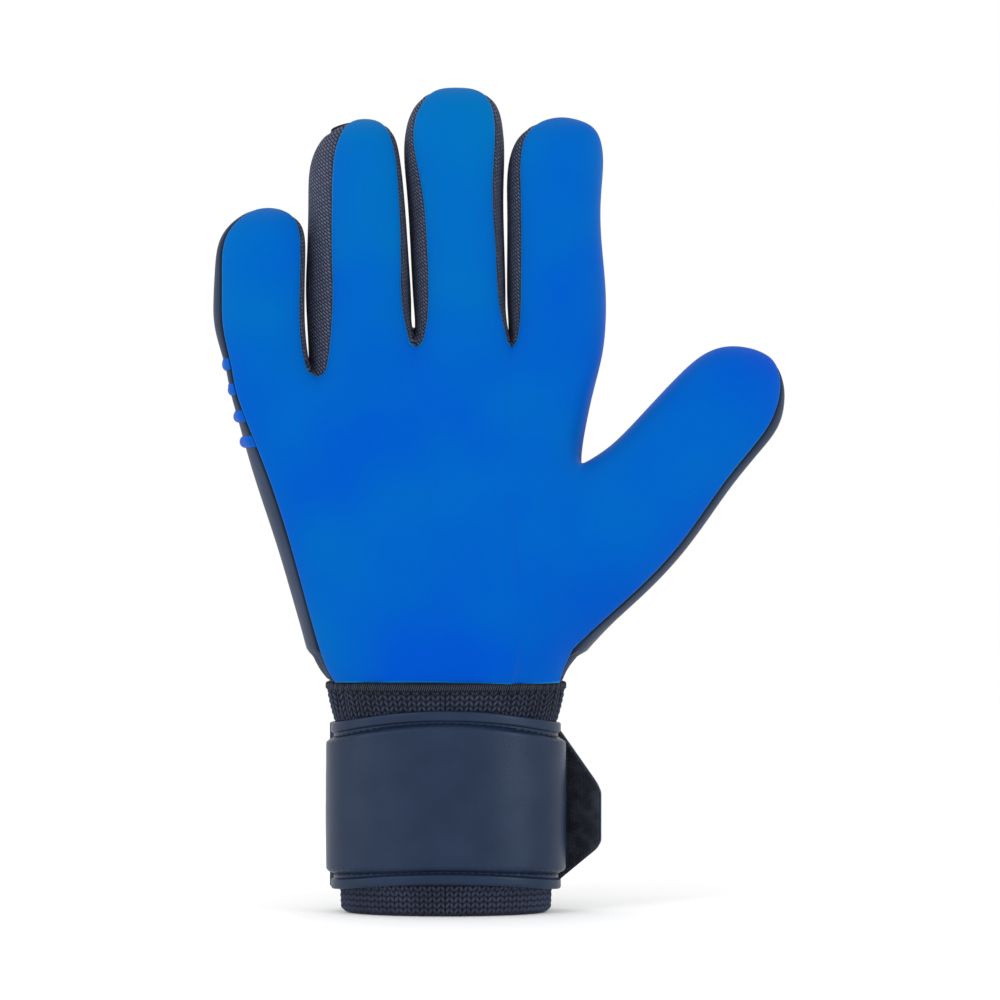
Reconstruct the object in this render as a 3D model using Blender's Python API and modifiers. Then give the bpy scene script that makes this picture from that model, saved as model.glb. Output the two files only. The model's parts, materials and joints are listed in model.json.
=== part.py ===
"""Goalkeeper's glove for the right hand, standing fingers up with the palm towards -Y and the thumb at +X.

The origin is the middle of the wrist opening. A smooth hand form is blocked out first. Every sewn panel is a
piece of that form with its own thickness, and panels are split where the glove bends. Units are metres.
"""

import math

import bmesh
import bpy
import numpy as np
from mathutils import Vector

MM = 0.001
FRONT = Vector((0, -1, 0))  # the way the palm faces
SEAM_GAP = 0.6 * MM  # between two panels that are sewn together
JOINT_GAP = 0.4 * MM  # from a bend's axis to the panel on either side
JOINT_SPARE = math.radians(2)
CUT_SNAP = 0.5 * MM  # points this near a cut are moved onto it, so that it leaves no slivers

# Each panel's inner and outer face, measured outwards from the form.
LATEX_WALL = (-2.2 * MM, 1.2 * MM)
BACK_WALL = (-1.6 * MM, 0.8 * MM)
GUSSET_WALL = (-1.4 * MM, 0.0 * MM)
LINING_WALL = (-3.3 * MM, -2.5 * MM)
RIB_WALL = (1.6 * MM, 3.0 * MM)

# ---------------------------------------------------------------- the hand form's sizes

# Palm rows from the wrist up: height at the little finger's side and at the thumb's, then x of the left side,
# of the latex edge left, of the latex edge right and of the right side.
PALM_ROWS = (
    (76.0, 76.0, -39.3, -36.2, 37.2, 38.6),
    (88.0, 88.0, -45.2, -41.2, 41.8, 46.0),
    (118.0, 118.0, -54.2, -49.8, 45.0, 45.0),
    (146.0, 150.0, -63.3, -58.8, 41.3, 44.0),
    (169.0, 170.0, -69.6, -67.8, 43.9, 47.2),
)
# Depth of the palm side and of the back at five stations across each row, from the little finger's side.
STATIONS = (0.0, 2.5, 5.5, 8.5, 11.0)
PALM_FRONT = (
    (12.0, 20.5, 23.0, 20.5, 12.0),
    (12.0, 20.0, 22.5, 23.0, 13.5),
    (11.0, 17.5, 19.0, 23.0, 22.0),
    (10.5, 15.5, 16.0, 18.0, 12.5),
    (9.5, 14.0, 14.5, 15.5, 10.5),
)
PALM_BACK = (
    (12.0, 20.5, 23.0, 20.5, 12.0),
    (11.0, 18.5, 21.0, 19.0, 12.0),
    (10.5, 16.5, 18.5, 18.0, 14.0),
    (10.0, 15.0, 16.5, 15.5, 10.0),
    (9.5, 13.5, 15.0, 14.0, 9.5),
)
# Fingers: heights of the webs, then x of the left side, latex edge left, latex edge right and right side at
# the root, then rings upwards with a height, those four, and the depth of the front and of the back. The tip
# is a height and x, and the bends are heights.
FINGERS = {
    "little": {
        "web": (181.0, 179.8),
        "root": (-72.2, -70.6, -46.2, -46.2),
        "rings": (
            (193.0, -75.8, -73.2, -48.6, -47.2, 12.6, 11.6),
            (203.0, -76.6, -73.8, -48.8, -47.5, 12.3, 11.4),
            (213.0, -76.0, -73.8, -48.6, -47.4, 12.0, 11.2),
            (223.0, -74.0, -72.8, -48.6, -47.4, 11.2, 10.6),
            (230.0, -68.2, -67.6, -50.8, -50.2, 7.8, 7.6),
        ),
        "tip": (233.2, -59.2),
        "bends": (191.0, 211.0),
    },
    "ring": {
        "web": (179.8, 189.2),
        "root": (-45.2, -39.4, -12.2, -11.4),
        "rings": (
            (203.0, -45.8, -37.2, -14.9, -12.0, 13.0, 12.2),
            (218.0, -45.6, -37.4, -15.2, -12.8, 12.8, 12.0),
            (236.0, -45.2, -37.4, -15.8, -14.0, 12.4, 11.6),
            (250.0, -44.2, -36.8, -17.0, -15.6, 11.6, 11.0),
            (259.4, -38.6, -33.8, -19.8, -18.6, 8.0, 7.8),
        ),
        "tip": (262.8, -27.2),
        "bends": (198.0, 229.0),
    },
    "middle": {
        "web": (189.2, 189.2),
        "root": (-10.2, -7.4, 20.2, 20.0),
        "rings": (
            (203.0, -10.4, -5.4, 17.2, 19.6, 13.2, 12.4),
            (220.0, -11.3, -5.8, 16.2, 19.2, 13.0, 12.2),
            (240.0, -12.6, -7.6, 15.2, 18.8, 12.6, 11.8),
            (258.0, -13.4, -10.4, 16.0, 18.9, 12.0, 11.2),
            (269.8, -8.2, -6.4, 13.6, 15.0, 8.2, 8.0),
        ),
        "tip": (273.2, 3.2),
        "bends": (198.5, 234.0),
    },
    "index": {
        "web": (189.2, 186.0),
        "root": (21.0, 23.8, 48.2, 51.0),
        "rings": (
            (202.0, 20.9, 25.2, 49.2, 52.2, 13.0, 12.2),
            (217.0, 20.8, 25.4, 48.6, 51.2, 12.8, 12.0),
            (234.0, 20.8, 25.3, 48.0, 50.3, 12.4, 11.6),
            (250.0, 21.4, 25.2, 48.6, 51.2, 11.8, 11.0),
            (259.6, 26.8, 28.6, 47.2, 48.2, 8.2, 8.0),
        ),
        "tip": (263.4, 38.6),
        "bends": (197.5, 229.0),
    },
}
FINGER_NAMES = tuple(FINGERS)
WEB_RISE = (4.0, 4.6, 3.4)  # how far each web climbs from its front edge to its middle
EDGE_DEPTH = 0.72  # a latex edge's depth, as a share of the finger's
BACK_INSET = 2.4  # from a side to the edge of the back's panel

# The thumb leaves at 45 degrees. Its rings are measured along and across that line, as are its bends.
THUMB_ALONG = Vector((1, 0, 1)).normalized()
THUMB_ACROSS = Vector((1, 0, -1)).normalized()
# Rings: along and across of the upper side, along and across of the lower side, front depth, back depth.
THUMB_RINGS = (
    (139.5, -71.4, 122.5, -29.2, 21.0, 15.5),
    (150.0, -69.6, 146.0, -30.4, 17.5, 13.6),
    (167.0, -69.9, 166.0, -33.6, 14.6, 12.6),
    (183.0, -70.2, 183.0, -35.4, 13.2, 11.8),
    (196.6, -67.2, 196.6, -39.2, 10.4, 9.6),
)
THUMB_TIP = (205.8, -53.4)
THUMB_EDGES = (3.0, 2.5)  # latex edge inside the upper and the lower side
THUMB_BENDS = (151.0, 178.0)
THUMB_MIDDLE = -53.0  # across

BEND_DEPTH = 6.0 * MM  # a digit bends about a line this far in front of its middle
FINGER_BEND = math.radians(65)
FINGER_TIP_BEND = math.radians(72)
THUMB_BEND = math.radians(45)
THUMB_TIP_BEND = math.radians(50)

RIB_HEIGHTS = (157.4, 165.4, 173.6, 181.6)
RIB_WIDTH = 4.6
RIB_END = 42.0  # x of the ribs' end on the thumb's side
LINING_TOP = 160.0

COLUMNS = 3 * len(FINGERS) - 1  # two for each finger and one for each web
ROWS = len(PALM_ROWS)
THUMB_ROWS = (1, 3)  # the palm rows between which the thumb leaves
LATEX, BACK, GUSSET, SIDE = range(4)
HAND, THUMB = 0, 5

# ---------------------------------------------------------------- the cuff's sizes

CUFF_ACROSS = 36.6 * MM  # half the bandage's width and depth, outside, where the strap holds it
CUFF_DEPTH = 22.5 * MM
BANDAGE_WALL = 1.6 * MM
RIM_DRAW = 1.6 * MM  # how much the bandage narrows at the rim
BANDAGE_FLARE = 2.4 * MM  # and widens above the strap
BANDAGE_TOP = 66.0 * MM
STRETCH_TOP = 72.6 * MM
HEM_BOTTOM = 73.6 * MM
HEM_TOP = 75.6 * MM
STRAP_BOTTOM = 7.6 * MM
STRAP_TOP = 63.0 * MM
STRAP_BOW = 3.4 * MM  # the strap's edges arch up across the palm side
FLANGE = 3.6 * MM  # flat stitched margin above and below the pad
STRAP_START = math.radians(-190)  # round the wrist from the little finger's side, over the palm side
STRAP_END = math.radians(12)
FLAP_START = math.radians(168)  # and on over the back
FLAP_LIFT_OFF = math.radians(50)  # from here the flap runs straight
FLAP_REACH = 51.6 * MM  # x of the flap's end
FLAP_TAPER = 18.0 * MM  # length of the tapered end
FLAP_END_HEIGHTS = (22.0 * MM, 40.0 * MM)
HOOK_SHORT = 22.0 * MM  # the hook tape starts this far along the flap
TAPE_INSET = 2.0 * MM  # from the strap's edges to those of the hook tape and the loop patch
LOOP_START = math.radians(28)
LOOP_END = math.radians(163)

# ---------------------------------------------------------------- scene and finishes

for old in list(bpy.data.objects):
    bpy.data.objects.remove(old)


def finish(name, colour, roughness):
    made = bpy.data.materials.new(name)
    made.use_nodes = True
    shader = made.node_tree.nodes["Principled BSDF"]
    shader.inputs["Base Color"].default_value = (*colour, 1)
    shader.inputs["Roughness"].default_value = roughness
    shader.inputs["Metallic"].default_value = 0
    return made


LATEX_BLUE = finish("latex_blue", (0.0, 0.105, 0.57), 0.75)
SMOOTH_NAVY = finish("smooth_navy", (0.03, 0.045, 0.09), 0.45)
MESH_NAVY = finish("mesh_navy", (0.04, 0.05, 0.09), 0.9)
KNIT_NAVY = finish("knit_navy", (0.02, 0.025, 0.045), 0.95)
HOOK_BLACK = finish("hook_black", (0.015, 0.016, 0.022), 0.9)
LINING_GREY = finish("lining_grey", (0.35, 0.36, 0.38), 0.9)
FOAM_GREY = finish("foam_grey", (0.5, 0.5, 0.48), 0.95)

glove = bpy.data.collections.new("goalkeeper_glove")
bpy.context.scene.collection.children.link(glove)


def add_object(name, bm, material):
    """The bmesh as an object of the glove, shaded smooth with its edges sharp."""
    mesh = bpy.data.meshes.new(name)
    bm.to_mesh(mesh)
    bm.free()
    mesh.materials.append(material)
    mesh.shade_smooth()
    mesh.set_sharp_from_angle(angle=math.radians(40))
    made = bpy.data.objects.new(name, mesh)
    glove.objects.link(made)
    return made


# ---------------------------------------------------------------- the hand form


def raise_faces(bm, faces, step):
    """Extrudes the faces one lattice step and returns those at the new end."""
    edges = list({edge for face in faces for edge in face.edges})
    made = bmesh.ops.extrude_face_region(bm, geom=faces + edges)["geom"]
    moved = [item for item in made if isinstance(item, bmesh.types.BMVert)]
    bmesh.ops.translate(bm, vec=step, verts=moved)
    return [item for item in made if isinstance(item, bmesh.types.BMFace)]


def faces_between(bm, low, high):
    """The faces whose middles lie in this box of the lattice."""
    found = []
    for face in bm.faces:
        middle = face.calc_center_median()
        if all(a <= c <= b for a, c, b in zip(low, middle, high)):
            found.append(face)
    return found


def split_tip(bm, finger, side):
    """Splits a front quarter of a fingertip from its corner to the tip's middle: a seam runs there."""
    middle = 3 * finger + 1
    top = ROWS + len(FINGERS[FINGER_NAMES[finger]]["rings"])
    low, high = sorted((middle, middle + side))
    face = faces_between(bm, (low, -1, top), (high, 0, top))[0]
    ends = (Vector((middle + side, -1, top)), Vector((middle, 0, top)))
    corners = [min(face.verts, key=lambda vert: (vert.co - end).length) for end in ends]
    bmesh.utils.face_split(face, *corners)


def block_out():
    """The glove as a block on a whole-number lattice: columns across, -1 to 1 in depth, rows up."""
    bm = bmesh.new()
    bmesh.ops.create_grid(bm, x_segments=COLUMNS, y_segments=2, size=1)
    for vert in bm.verts:
        vert.co.x = (vert.co.x + 1) / 2 * COLUMNS
    top = bm.faces[:]
    for _ in range(ROWS):
        top = raise_faces(bm, top, Vector((0, 0, 1)))
    for finger in range(len(FINGERS)):
        column = 3 * finger
        top = faces_between(bm, (column, -1, ROWS), (column + 2, 1, ROWS))
        for _ in FINGERS[FINGER_NAMES[finger]]["rings"]:
            top = raise_faces(bm, top, Vector((0, 0, 1)))
    for finger in range(len(FINGERS)):
        split_tip(bm, finger, -1)
        if finger < len(FINGERS) - 1:
            split_tip(bm, finger, 1)
    end = faces_between(bm, (COLUMNS, -1, THUMB_ROWS[0]), (COLUMNS, 1, THUMB_ROWS[1]))
    for _ in THUMB_RINGS:
        end = raise_faces(bm, end, Vector((1, 0, 0)))
    wrist = faces_between(bm, (0, -1, 0), (COLUMNS, 1, 0))
    bmesh.ops.delete(bm, geom=wrist, context="FACES")
    bmesh.ops.recalc_face_normals(bm, faces=bm.faces)
    return bm


def panel_of(middle, normal):
    """(digit, panel, web) of a lattice face: webs count 1 to 3 from the little finger."""
    front = middle.y < 0
    side = LATEX if front else BACK
    if middle.x > COLUMNS:
        return THUMB, BACK if normal.z < -0.5 else side, 0
    if middle.z > ROWS:
        finger = int(middle.x // 3)
        across = middle.x % 3 - 1
        on_tip = normal.z > 0.5 and front and abs(across) > 0.5
        if abs(normal.x) < 0.5 and not on_tip:
            return finger + 1, side, 0
        if across < 0:
            return (finger + 1, GUSSET, finger) if finger else (1, BACK, 0)
        last = finger == len(FINGERS) - 1
        return (finger + 1, side, 0) if last else (finger + 1, GUSSET, finger + 1)
    if normal.z > 0.5:
        return HAND, GUSSET, int(middle.x // 3) + 1
    if normal.x < -0.5:
        return HAND, SIDE, 0
    if normal.x > 0.5 and middle.z < THUMB_ROWS[0]:
        return HAND, BACK, 0
    return HAND, side, 0


def mark_panels(bm):
    layers = [bm.faces.layers.int.new(name) for name in ("digit", "panel", "web")]
    bm.normal_update()
    for face in bm.faces:
        for layer, value in zip(layers, panel_of(face.calc_center_median(), face.normal)):
            face[layer] = value


def ring_point(ring, across, depth):
    """A point of a finger's ring: across is 0, 1 or 2 from the left, depth is -1 front, 0 or 1 back."""
    height, left, edge_left, edge_right, right, front, back = ring
    if depth == 0:
        return Vector(((left, (edge_left + edge_right) / 2, right)[across], 0, height))
    share = 1 if across == 1 else EDGE_DEPTH
    if depth < 0:
        x = (edge_left, (edge_left + edge_right) / 2, edge_right)[across]
        return Vector((x, -front * share, height))
    x = (left + BACK_INSET, (left + right) / 2, right - BACK_INSET)[across]
    return Vector((x, back * share, height))


def palm_point(column, depth, row):
    low_side, thumb_side, left, edge_left, edge_right, right = PALM_ROWS[row]
    first, last = web_row_point(0, -1).x, web_row_point(COLUMNS, -1).x
    share = (web_row_point(column, -1).x - first) / (last - first)
    height = low_side + share * (thumb_side - low_side)
    if depth == 0:
        return Vector((left if column == 0 else right, 0, height))
    if depth < 0:
        x = edge_left + share * (edge_right - edge_left)
        return Vector((x, -np.interp(column, STATIONS, PALM_FRONT[row]), height))
    x = left + BACK_INSET + share * (right - left - 2 * BACK_INSET)
    return Vector((x, np.interp(column, STATIONS, PALM_BACK[row]), height))


def web_row_point(column, depth):
    """A point of the row at the webs, where the fingers start."""
    finger = FINGERS[FINGER_NAMES[column // 3]]
    low, high = finger["web"]
    height = low + (high - low) * (column % 3) / 2
    point = ring_point((height, *finger["root"], *finger["rings"][0][-2:]), column % 3, depth)
    if depth >= 0 and column not in (0, COLUMNS):
        web = (column + 1) // 3 - 1
        rise = WEB_RISE[min(max(web, 0), 2)]
        point.z += rise
    return point


def thumb_point(ring, depth, row):
    """A point of a thumb ring: row 1 is its lower side, 2 its middle and 3 its upper side."""
    up_along, up_across, low_along, low_across, front, back = ring
    upper = up_along * THUMB_ALONG + up_across * THUMB_ACROSS
    lower = low_along * THUMB_ALONG + low_across * THUMB_ACROSS
    span = (lower - upper).normalized()
    if depth == 0:
        return {1: lower, 3: upper}[row].copy()
    upper_edge = upper + THUMB_EDGES[0] * span
    lower_edge = lower - THUMB_EDGES[1] * span
    point = {1: lower_edge, 2: (upper_edge + lower_edge) / 2, 3: upper_edge}[row].copy()
    share = 1 if row == 2 else EDGE_DEPTH
    point.y = -front * share if depth < 0 else back * share
    return point


def form_point(column, depth, row):
    """Where a lattice point of the block belongs, in millimetres."""
    if column > COLUMNS:
        if depth == 0 and row == 2:
            return THUMB_TIP[0] * THUMB_ALONG + THUMB_TIP[1] * THUMB_ACROSS
        return thumb_point(THUMB_RINGS[column - COLUMNS - 1], depth, row)
    if row < ROWS:
        return palm_point(column, depth, row)
    if row == ROWS:
        return web_row_point(column, depth)
    finger = FINGERS[FINGER_NAMES[column // 3]]
    if depth == 0 and column % 3 == 1:
        return Vector((finger["tip"][1], 0, finger["tip"][0]))
    return ring_point(finger["rings"][row - ROWS - 1], column % 3, depth)


def smooth_form():
    """The hand form: the block with one subdivision, its cage moved until the surface meets every point."""
    bm = block_out()
    mark_panels(bm)
    targets = []
    for vert in bm.verts:
        column, depth, row = (round(c) for c in vert.co)
        targets.append(form_point(column, depth, row) * MM)
        vert.co = targets[-1]
    mesh = bpy.data.meshes.new("form_cage")
    bm.to_mesh(mesh)
    bm.free()
    cage = bpy.data.objects.new("form_cage", mesh)
    glove.objects.link(cage)
    cage.hide_render = True
    smooth = cage.modifiers.new("smooth", "SUBSURF")
    smooth.levels = smooth.render_levels = 1
    fit_passes = 12
    for _ in range(fit_passes):
        reached = cage.evaluated_get(bpy.context.evaluated_depsgraph_get()).data.vertices
        misses = [target - reached[i].co for i, target in enumerate(targets)]
        for vert, miss in zip(mesh.vertices, misses):
            vert.co += miss
        mesh.update()
    form = bmesh.new()
    form.from_mesh(cage.evaluated_get(bpy.context.evaluated_depsgraph_get()).to_mesh())
    bpy.data.objects.remove(cage)
    form.normal_update()
    outward = form.verts.layers.float_vector.new("outward")
    for vert in form.verts:
        vert[outward] = vert.normal
    return form


FORM = smooth_form()


# ---------------------------------------------------------------- panels of the form


def trim(bm, digit, point, normal):
    """Cuts away what lies beyond a plane, on one digit's faces, or on all of them if digit is None."""
    layer = bm.faces.layers.int["digit"]
    faces = [face for face in bm.faces if digit is None or face[layer] == digit]
    edges = {edge for face in faces for edge in face.edges}
    verts = {vert for face in faces for vert in face.verts}
    whole = [*faces, *edges, *verts]
    bmesh.ops.bisect_plane(
        bm, geom=whole, dist=CUT_SNAP, plane_co=point, plane_no=normal, use_snap_center=True
    )
    gone = []
    for face in bm.faces:
        beyond = (face.calc_center_median() - point).dot(normal) > 0
        if beyond and (digit is None or face[layer] == digit):
            gone.append(face)
    bmesh.ops.delete(bm, geom=gone, context="FACES")


def panel(name, wanted, trims, wall, material):
    """One sewn panel: the form's wanted faces, trimmed, drawn in from its seams and given its thickness."""
    bm = FORM.copy()
    layers = [bm.faces.layers.int[key] for key in ("digit", "panel", "web")]
    unwanted = [face for face in bm.faces if not wanted(*(face[layer] for layer in layers))]
    bmesh.ops.delete(bm, geom=unwanted, context="FACES")
    for digit, point, normal in trims:
        trim(bm, digit, point, normal)
    rim = bmesh.ops.inset_region(
        bm, faces=bm.faces[:], thickness=SEAM_GAP / 2, use_boundary=True, use_even_offset=True
    )["faces"]
    bmesh.ops.delete(bm, geom=rim, context="FACES")
    outward = bm.verts.layers.float_vector["outward"]
    inner, outer = wall
    made = bmesh.ops.extrude_face_region(bm, geom=bm.faces[:])["geom"]
    raised = {item for item in made if isinstance(item, bmesh.types.BMVert)}
    for vert in bm.verts:
        vert.co += vert[outward].normalized() * (outer if vert in raised else inner)
    bmesh.ops.recalc_face_normals(bm, faces=bm.faces)
    return add_object(name, bm, material)


def bend_point(digit, number):
    """A point on the axis of a digit's bend: number 0 is its base and 1 its middle joint."""
    if digit == THUMB:
        point = (THUMB_BENDS[number] * THUMB_ALONG + THUMB_MIDDLE * THUMB_ACROSS) * MM
    else:
        finger = FINGERS[FINGER_NAMES[digit - 1]]
        _, left, _, _, right, _, _ = finger["rings"][0]
        point = Vector(((left + right) / 2, 0, finger["bends"][number])) * MM
    return point + FRONT * BEND_DEPTH


def bend_angle(digit, number):
    if digit == THUMB:
        return (THUMB_BEND, THUMB_TIP_BEND)[number]
    return (FINGER_BEND, FINGER_TIP_BEND)[number]


def bend_trims(digit, number, keep_below):
    """The two planes that give a digit room to bend: a square cut, and a slanting one on the palm side."""
    along = THUMB_ALONG if digit == THUMB else Vector((0, 0, 1))
    towards = along if keep_below else -along
    lean = math.tan(bend_angle(digit, number) / 2 + JOINT_SPARE)
    point = bend_point(digit, number) - towards * JOINT_GAP
    return [(digit, point, towards), (digit, point, (towards + FRONT * lean).normalized())]


def digit_name(digit):
    return "thumb" if digit == THUMB else FINGER_NAMES[digit - 1]


def make_digit(digit):
    """A digit's base and tip segments, each with its latex, its back and the gussets between the two."""
    segments = (
        ("base", bend_trims(digit, 0, False) + bend_trims(digit, 1, True)),
        ("tip", bend_trims(digit, 1, False)),
    )
    for segment, trims in segments:
        start = f"{digit_name(digit)}_{segment}"

        def of_kind(kind):
            return lambda d, p, w: d == digit and p == kind

        panel(f"{start}_latex", of_kind(LATEX), trims, LATEX_WALL, LATEX_BLUE)
        panel(f"{start}_back", of_kind(BACK), trims, BACK_WALL, SMOOTH_NAVY)
        if digit == THUMB:
            continue
        for web, neighbour in ((digit - 1, digit - 1), (digit, digit + 1)):
            if 1 <= neighbour <= len(FINGERS):
                name = f"{start}_gusset_by_{digit_name(neighbour)}"

                def of_web(d, p, w, web=web):
                    return d == digit and p == GUSSET and w == web

                panel(name, of_web, trims, GUSSET_WALL, MESH_NAVY)


for each_digit in range(1, THUMB + 1):
    make_digit(each_digit)

ALL_BASE_TRIMS = [
    cut for each_digit in range(1, THUMB + 1) for cut in bend_trims(each_digit, 0, True)
]


def make_hand_panels():
    panel("palm_latex", lambda d, p, w: p == LATEX, ALL_BASE_TRIMS, LATEX_WALL, LATEX_BLUE)
    panel("backhand_panel", lambda d, p, w: p == BACK, ALL_BASE_TRIMS, BACK_WALL, SMOOTH_NAVY)
    panel("little_side_panel", lambda d, p, w: p == SIDE, [], BACK_WALL, SMOOTH_NAVY)
    for web in range(1, len(FINGERS)):
        left, right = FINGER_NAMES[web - 1], FINGER_NAMES[web]

        def of_web(d, p, w, web=web):
            return p == GUSSET and w == web

        panel(f"web_gusset_{left}_{right}", of_web, ALL_BASE_TRIMS, GUSSET_WALL, MESH_NAVY)


def make_ribs():
    """Foam ribs across the knuckles, on the backhand and round its little finger side."""
    for number, height in enumerate(RIB_HEIGHTS, 1):
        low = Vector((0, 0, (height - RIB_WIDTH / 2) * MM))
        high = Vector((0, 0, (height + RIB_WIDTH / 2) * MM))
        end = Vector((RIB_END * MM, 0, 0))
        cuts = [
            (None, low, Vector((0, 0, -1))),
            (None, high, Vector((0, 0, 1))),
            (None, end, Vector((1, 0, 0))),
        ]

        def on_back(d, p, w):
            return p in (BACK, SIDE) and d != THUMB

        panel(f"knuckle_rib_{number}", on_back, cuts, RIB_WALL, LATEX_BLUE)


def make_lining():
    """The sleeve of lining inside the palm, up to where the fingers begin."""
    top = (None, Vector((0, 0, LINING_TOP * MM)), Vector((0, 0, 1)))
    panel("hand_lining", lambda d, p, w: d == HAND, [top], LINING_WALL, LINING_GREY)


make_hand_panels()
make_ribs()
make_lining()


# ---------------------------------------------------------------- the cuff and its strap


def wrist_point(angle, out):
    """A point round the wrist, out from the bandage: angle 0 is the thumb's side and 90 degrees the back."""
    x = (CUFF_ACROSS + out) * math.cos(angle)
    return Vector((x, (CUFF_DEPTH + out) * math.sin(angle), 0))


def sleeve(name, outline, material):
    """A closed elastic tube: the outline of its wall is a loop of (out from the bandage, height)."""
    segments = 40
    bm = bmesh.new()
    row = bmesh.ops.create_circle(bm, segments=segments, radius=1)["verts"]
    edges = bm.edges[:]
    first = edges
    rows = [row]
    for _ in outline[1:]:
        made = bmesh.ops.extrude_edge_only(bm, edges=edges)["geom"]
        row = [item for item in made if isinstance(item, bmesh.types.BMVert)]
        edges = [item for item in made if isinstance(item, bmesh.types.BMEdge)]
        edges = [edge for edge in edges if all(vert in row for vert in edge.verts)]
        rows.append(row)
    bmesh.ops.bridge_loops(bm, edges=first + edges)
    for row, (out, height) in zip(rows, outline):
        for vert in row:
            vert.co = wrist_point(math.atan2(vert.co.y, vert.co.x), out)
            vert.co.z = height
    bmesh.ops.recalc_face_normals(bm, faces=bm.faces)
    return add_object(name, bm, material)


def bow(angle):
    """How far the strap's edges arch up: most in the middle of the palm side, none at the sides."""
    return STRAP_BOW * max(0.0, -math.sin(angle)) ** 2


def band(name, start, end, edges, out, material, steps=24):
    """A strip round part of the wrist. Edges are its lower and upper heights and out its two faces."""
    bm = bmesh.new()
    bmesh.ops.create_grid(bm, x_segments=steps, y_segments=1, size=1)
    made = bmesh.ops.extrude_face_region(bm, geom=bm.faces[:])["geom"]
    raised = {item for item in made if isinstance(item, bmesh.types.BMVert)}
    for vert in bm.verts:
        angle = start + (vert.co.x + 1) / 2 * (end - start)
        height = edges[0] if vert.co.y < 0 else edges[1]
        vert.co = wrist_point(angle, out[1] if vert in raised else out[0])
        vert.co.z = height + bow(angle)
    bmesh.ops.recalc_face_normals(bm, faces=bm.faces)
    return add_object(name, bm, material)


def flap_line(out):
    """Points along the flap, seen from above: round the back, then straight off at its thumb end."""
    turns = 18
    points = []
    for step in range(turns + 1):
        angle = FLAP_START + (FLAP_LIFT_OFF - FLAP_START) * step / turns
        points.append(wrist_point(angle, out))
    away = (points[-1] - points[-2]).normalized()
    reach = (FLAP_REACH - points[-1].x) / away.x
    straight_steps = 6
    for step in range(1, straight_steps + 1):
        points.append(points[turns] + away * reach * step / straight_steps)
    return points


def flap_strip(name, out, short, inset, material):
    """A strip along the flap, short of its start and set in from its edges, tapered at its end."""
    inner, outer = flap_line(out[0]), flap_line(out[1])
    lengths = np.cumsum([0] + [(b - a).length for a, b in zip(inner, inner[1:])])
    whole = lengths[-1]
    first = next(i for i, length in enumerate(lengths) if length >= short)
    bm = bmesh.new()
    bmesh.ops.create_grid(bm, x_segments=len(inner) - 1 - first, y_segments=1, size=1)
    made = bmesh.ops.extrude_face_region(bm, geom=bm.faces[:])["geom"]
    raised = {item for item in made if isinstance(item, bmesh.types.BMVert)}
    for vert in bm.verts:
        index = first + round((vert.co.x + 1) / 2 * (len(inner) - 1 - first))
        left = max(0.0, 1 - (whole - lengths[index]) / FLAP_TAPER)
        low = STRAP_BOTTOM + left * (FLAP_END_HEIGHTS[0] - STRAP_BOTTOM) + inset
        high = STRAP_TOP + left * (FLAP_END_HEIGHTS[1] - STRAP_TOP) - inset
        height = low if vert.co.y < 0 else high
        vert.co = (outer if vert in raised else inner)[index].copy()
        vert.co.z = height
    bmesh.ops.recalc_face_normals(bm, faces=bm.faces)
    return add_object(name, bm, material)


def make_cuff():
    rim, flare, wall = -RIM_DRAW, BANDAGE_FLARE, BANDAGE_WALL
    outer = [(rim, 0), (0, STRAP_BOTTOM), (0, BANDAGE_TOP)]
    inner = [(out - wall, height) for out, height in reversed(outer)]
    sleeve("bandage_sleeve", outer + inner, KNIT_NAVY)
    outer = [(0, BANDAGE_TOP + 0.3 * MM), (flare, STRETCH_TOP)]
    inner = [(out - wall, height) for out, height in reversed(outer)]
    sleeve("bandage_stretch", outer + inner, KNIT_NAVY)
    outer = [(flare, HEM_BOTTOM), (flare, HEM_TOP)]
    inner = [(out - wall, height) for out, height in reversed(outer)]
    sleeve("wrist_hem", outer + inner, SMOOTH_NAVY)


def make_strap():
    """The strap: a flat backing, a raised cover sewn on it with foam inside, and the parts of its closure."""
    edges = (STRAP_BOTTOM, STRAP_TOP)
    pad = (STRAP_BOTTOM + FLANGE, STRAP_TOP - FLANGE)
    margin = math.radians(2)
    backing = (0.3 * MM, 1.3 * MM)
    foam = (1.6 * MM, 2.6 * MM)
    cover = (2.9 * MM, 3.9 * MM)
    band("strap_backing", STRAP_START, STRAP_END, edges, backing, SMOOTH_NAVY, 36)
    start, end = STRAP_START + margin, STRAP_END - margin
    band("strap_foam", start, end, pad, foam, FOAM_GREY, 36)
    band("strap_cover", start, end, pad, cover, SMOOTH_NAVY, 36)
    loop = (0.3 * MM, 1.2 * MM)
    loop_edges = (STRAP_BOTTOM + TAPE_INSET, STRAP_TOP - TAPE_INSET)
    band("loop_patch", LOOP_START, LOOP_END, loop_edges, loop, KNIT_NAVY, 20)
    flap_strip("strap_flap", (2.6 * MM, 3.9 * MM), 0.0, 0.0, SMOOTH_NAVY)
    flap_strip("hook_patch", (1.5 * MM, 2.3 * MM), HOOK_SHORT, TAPE_INSET, HOOK_BLACK)


make_cuff()
make_strap()
FORM.free()
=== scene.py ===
import json
import math

import bmesh
import bpy
import numpy as np
from mathutils import Matrix, Vector, kdtree, noise


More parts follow.
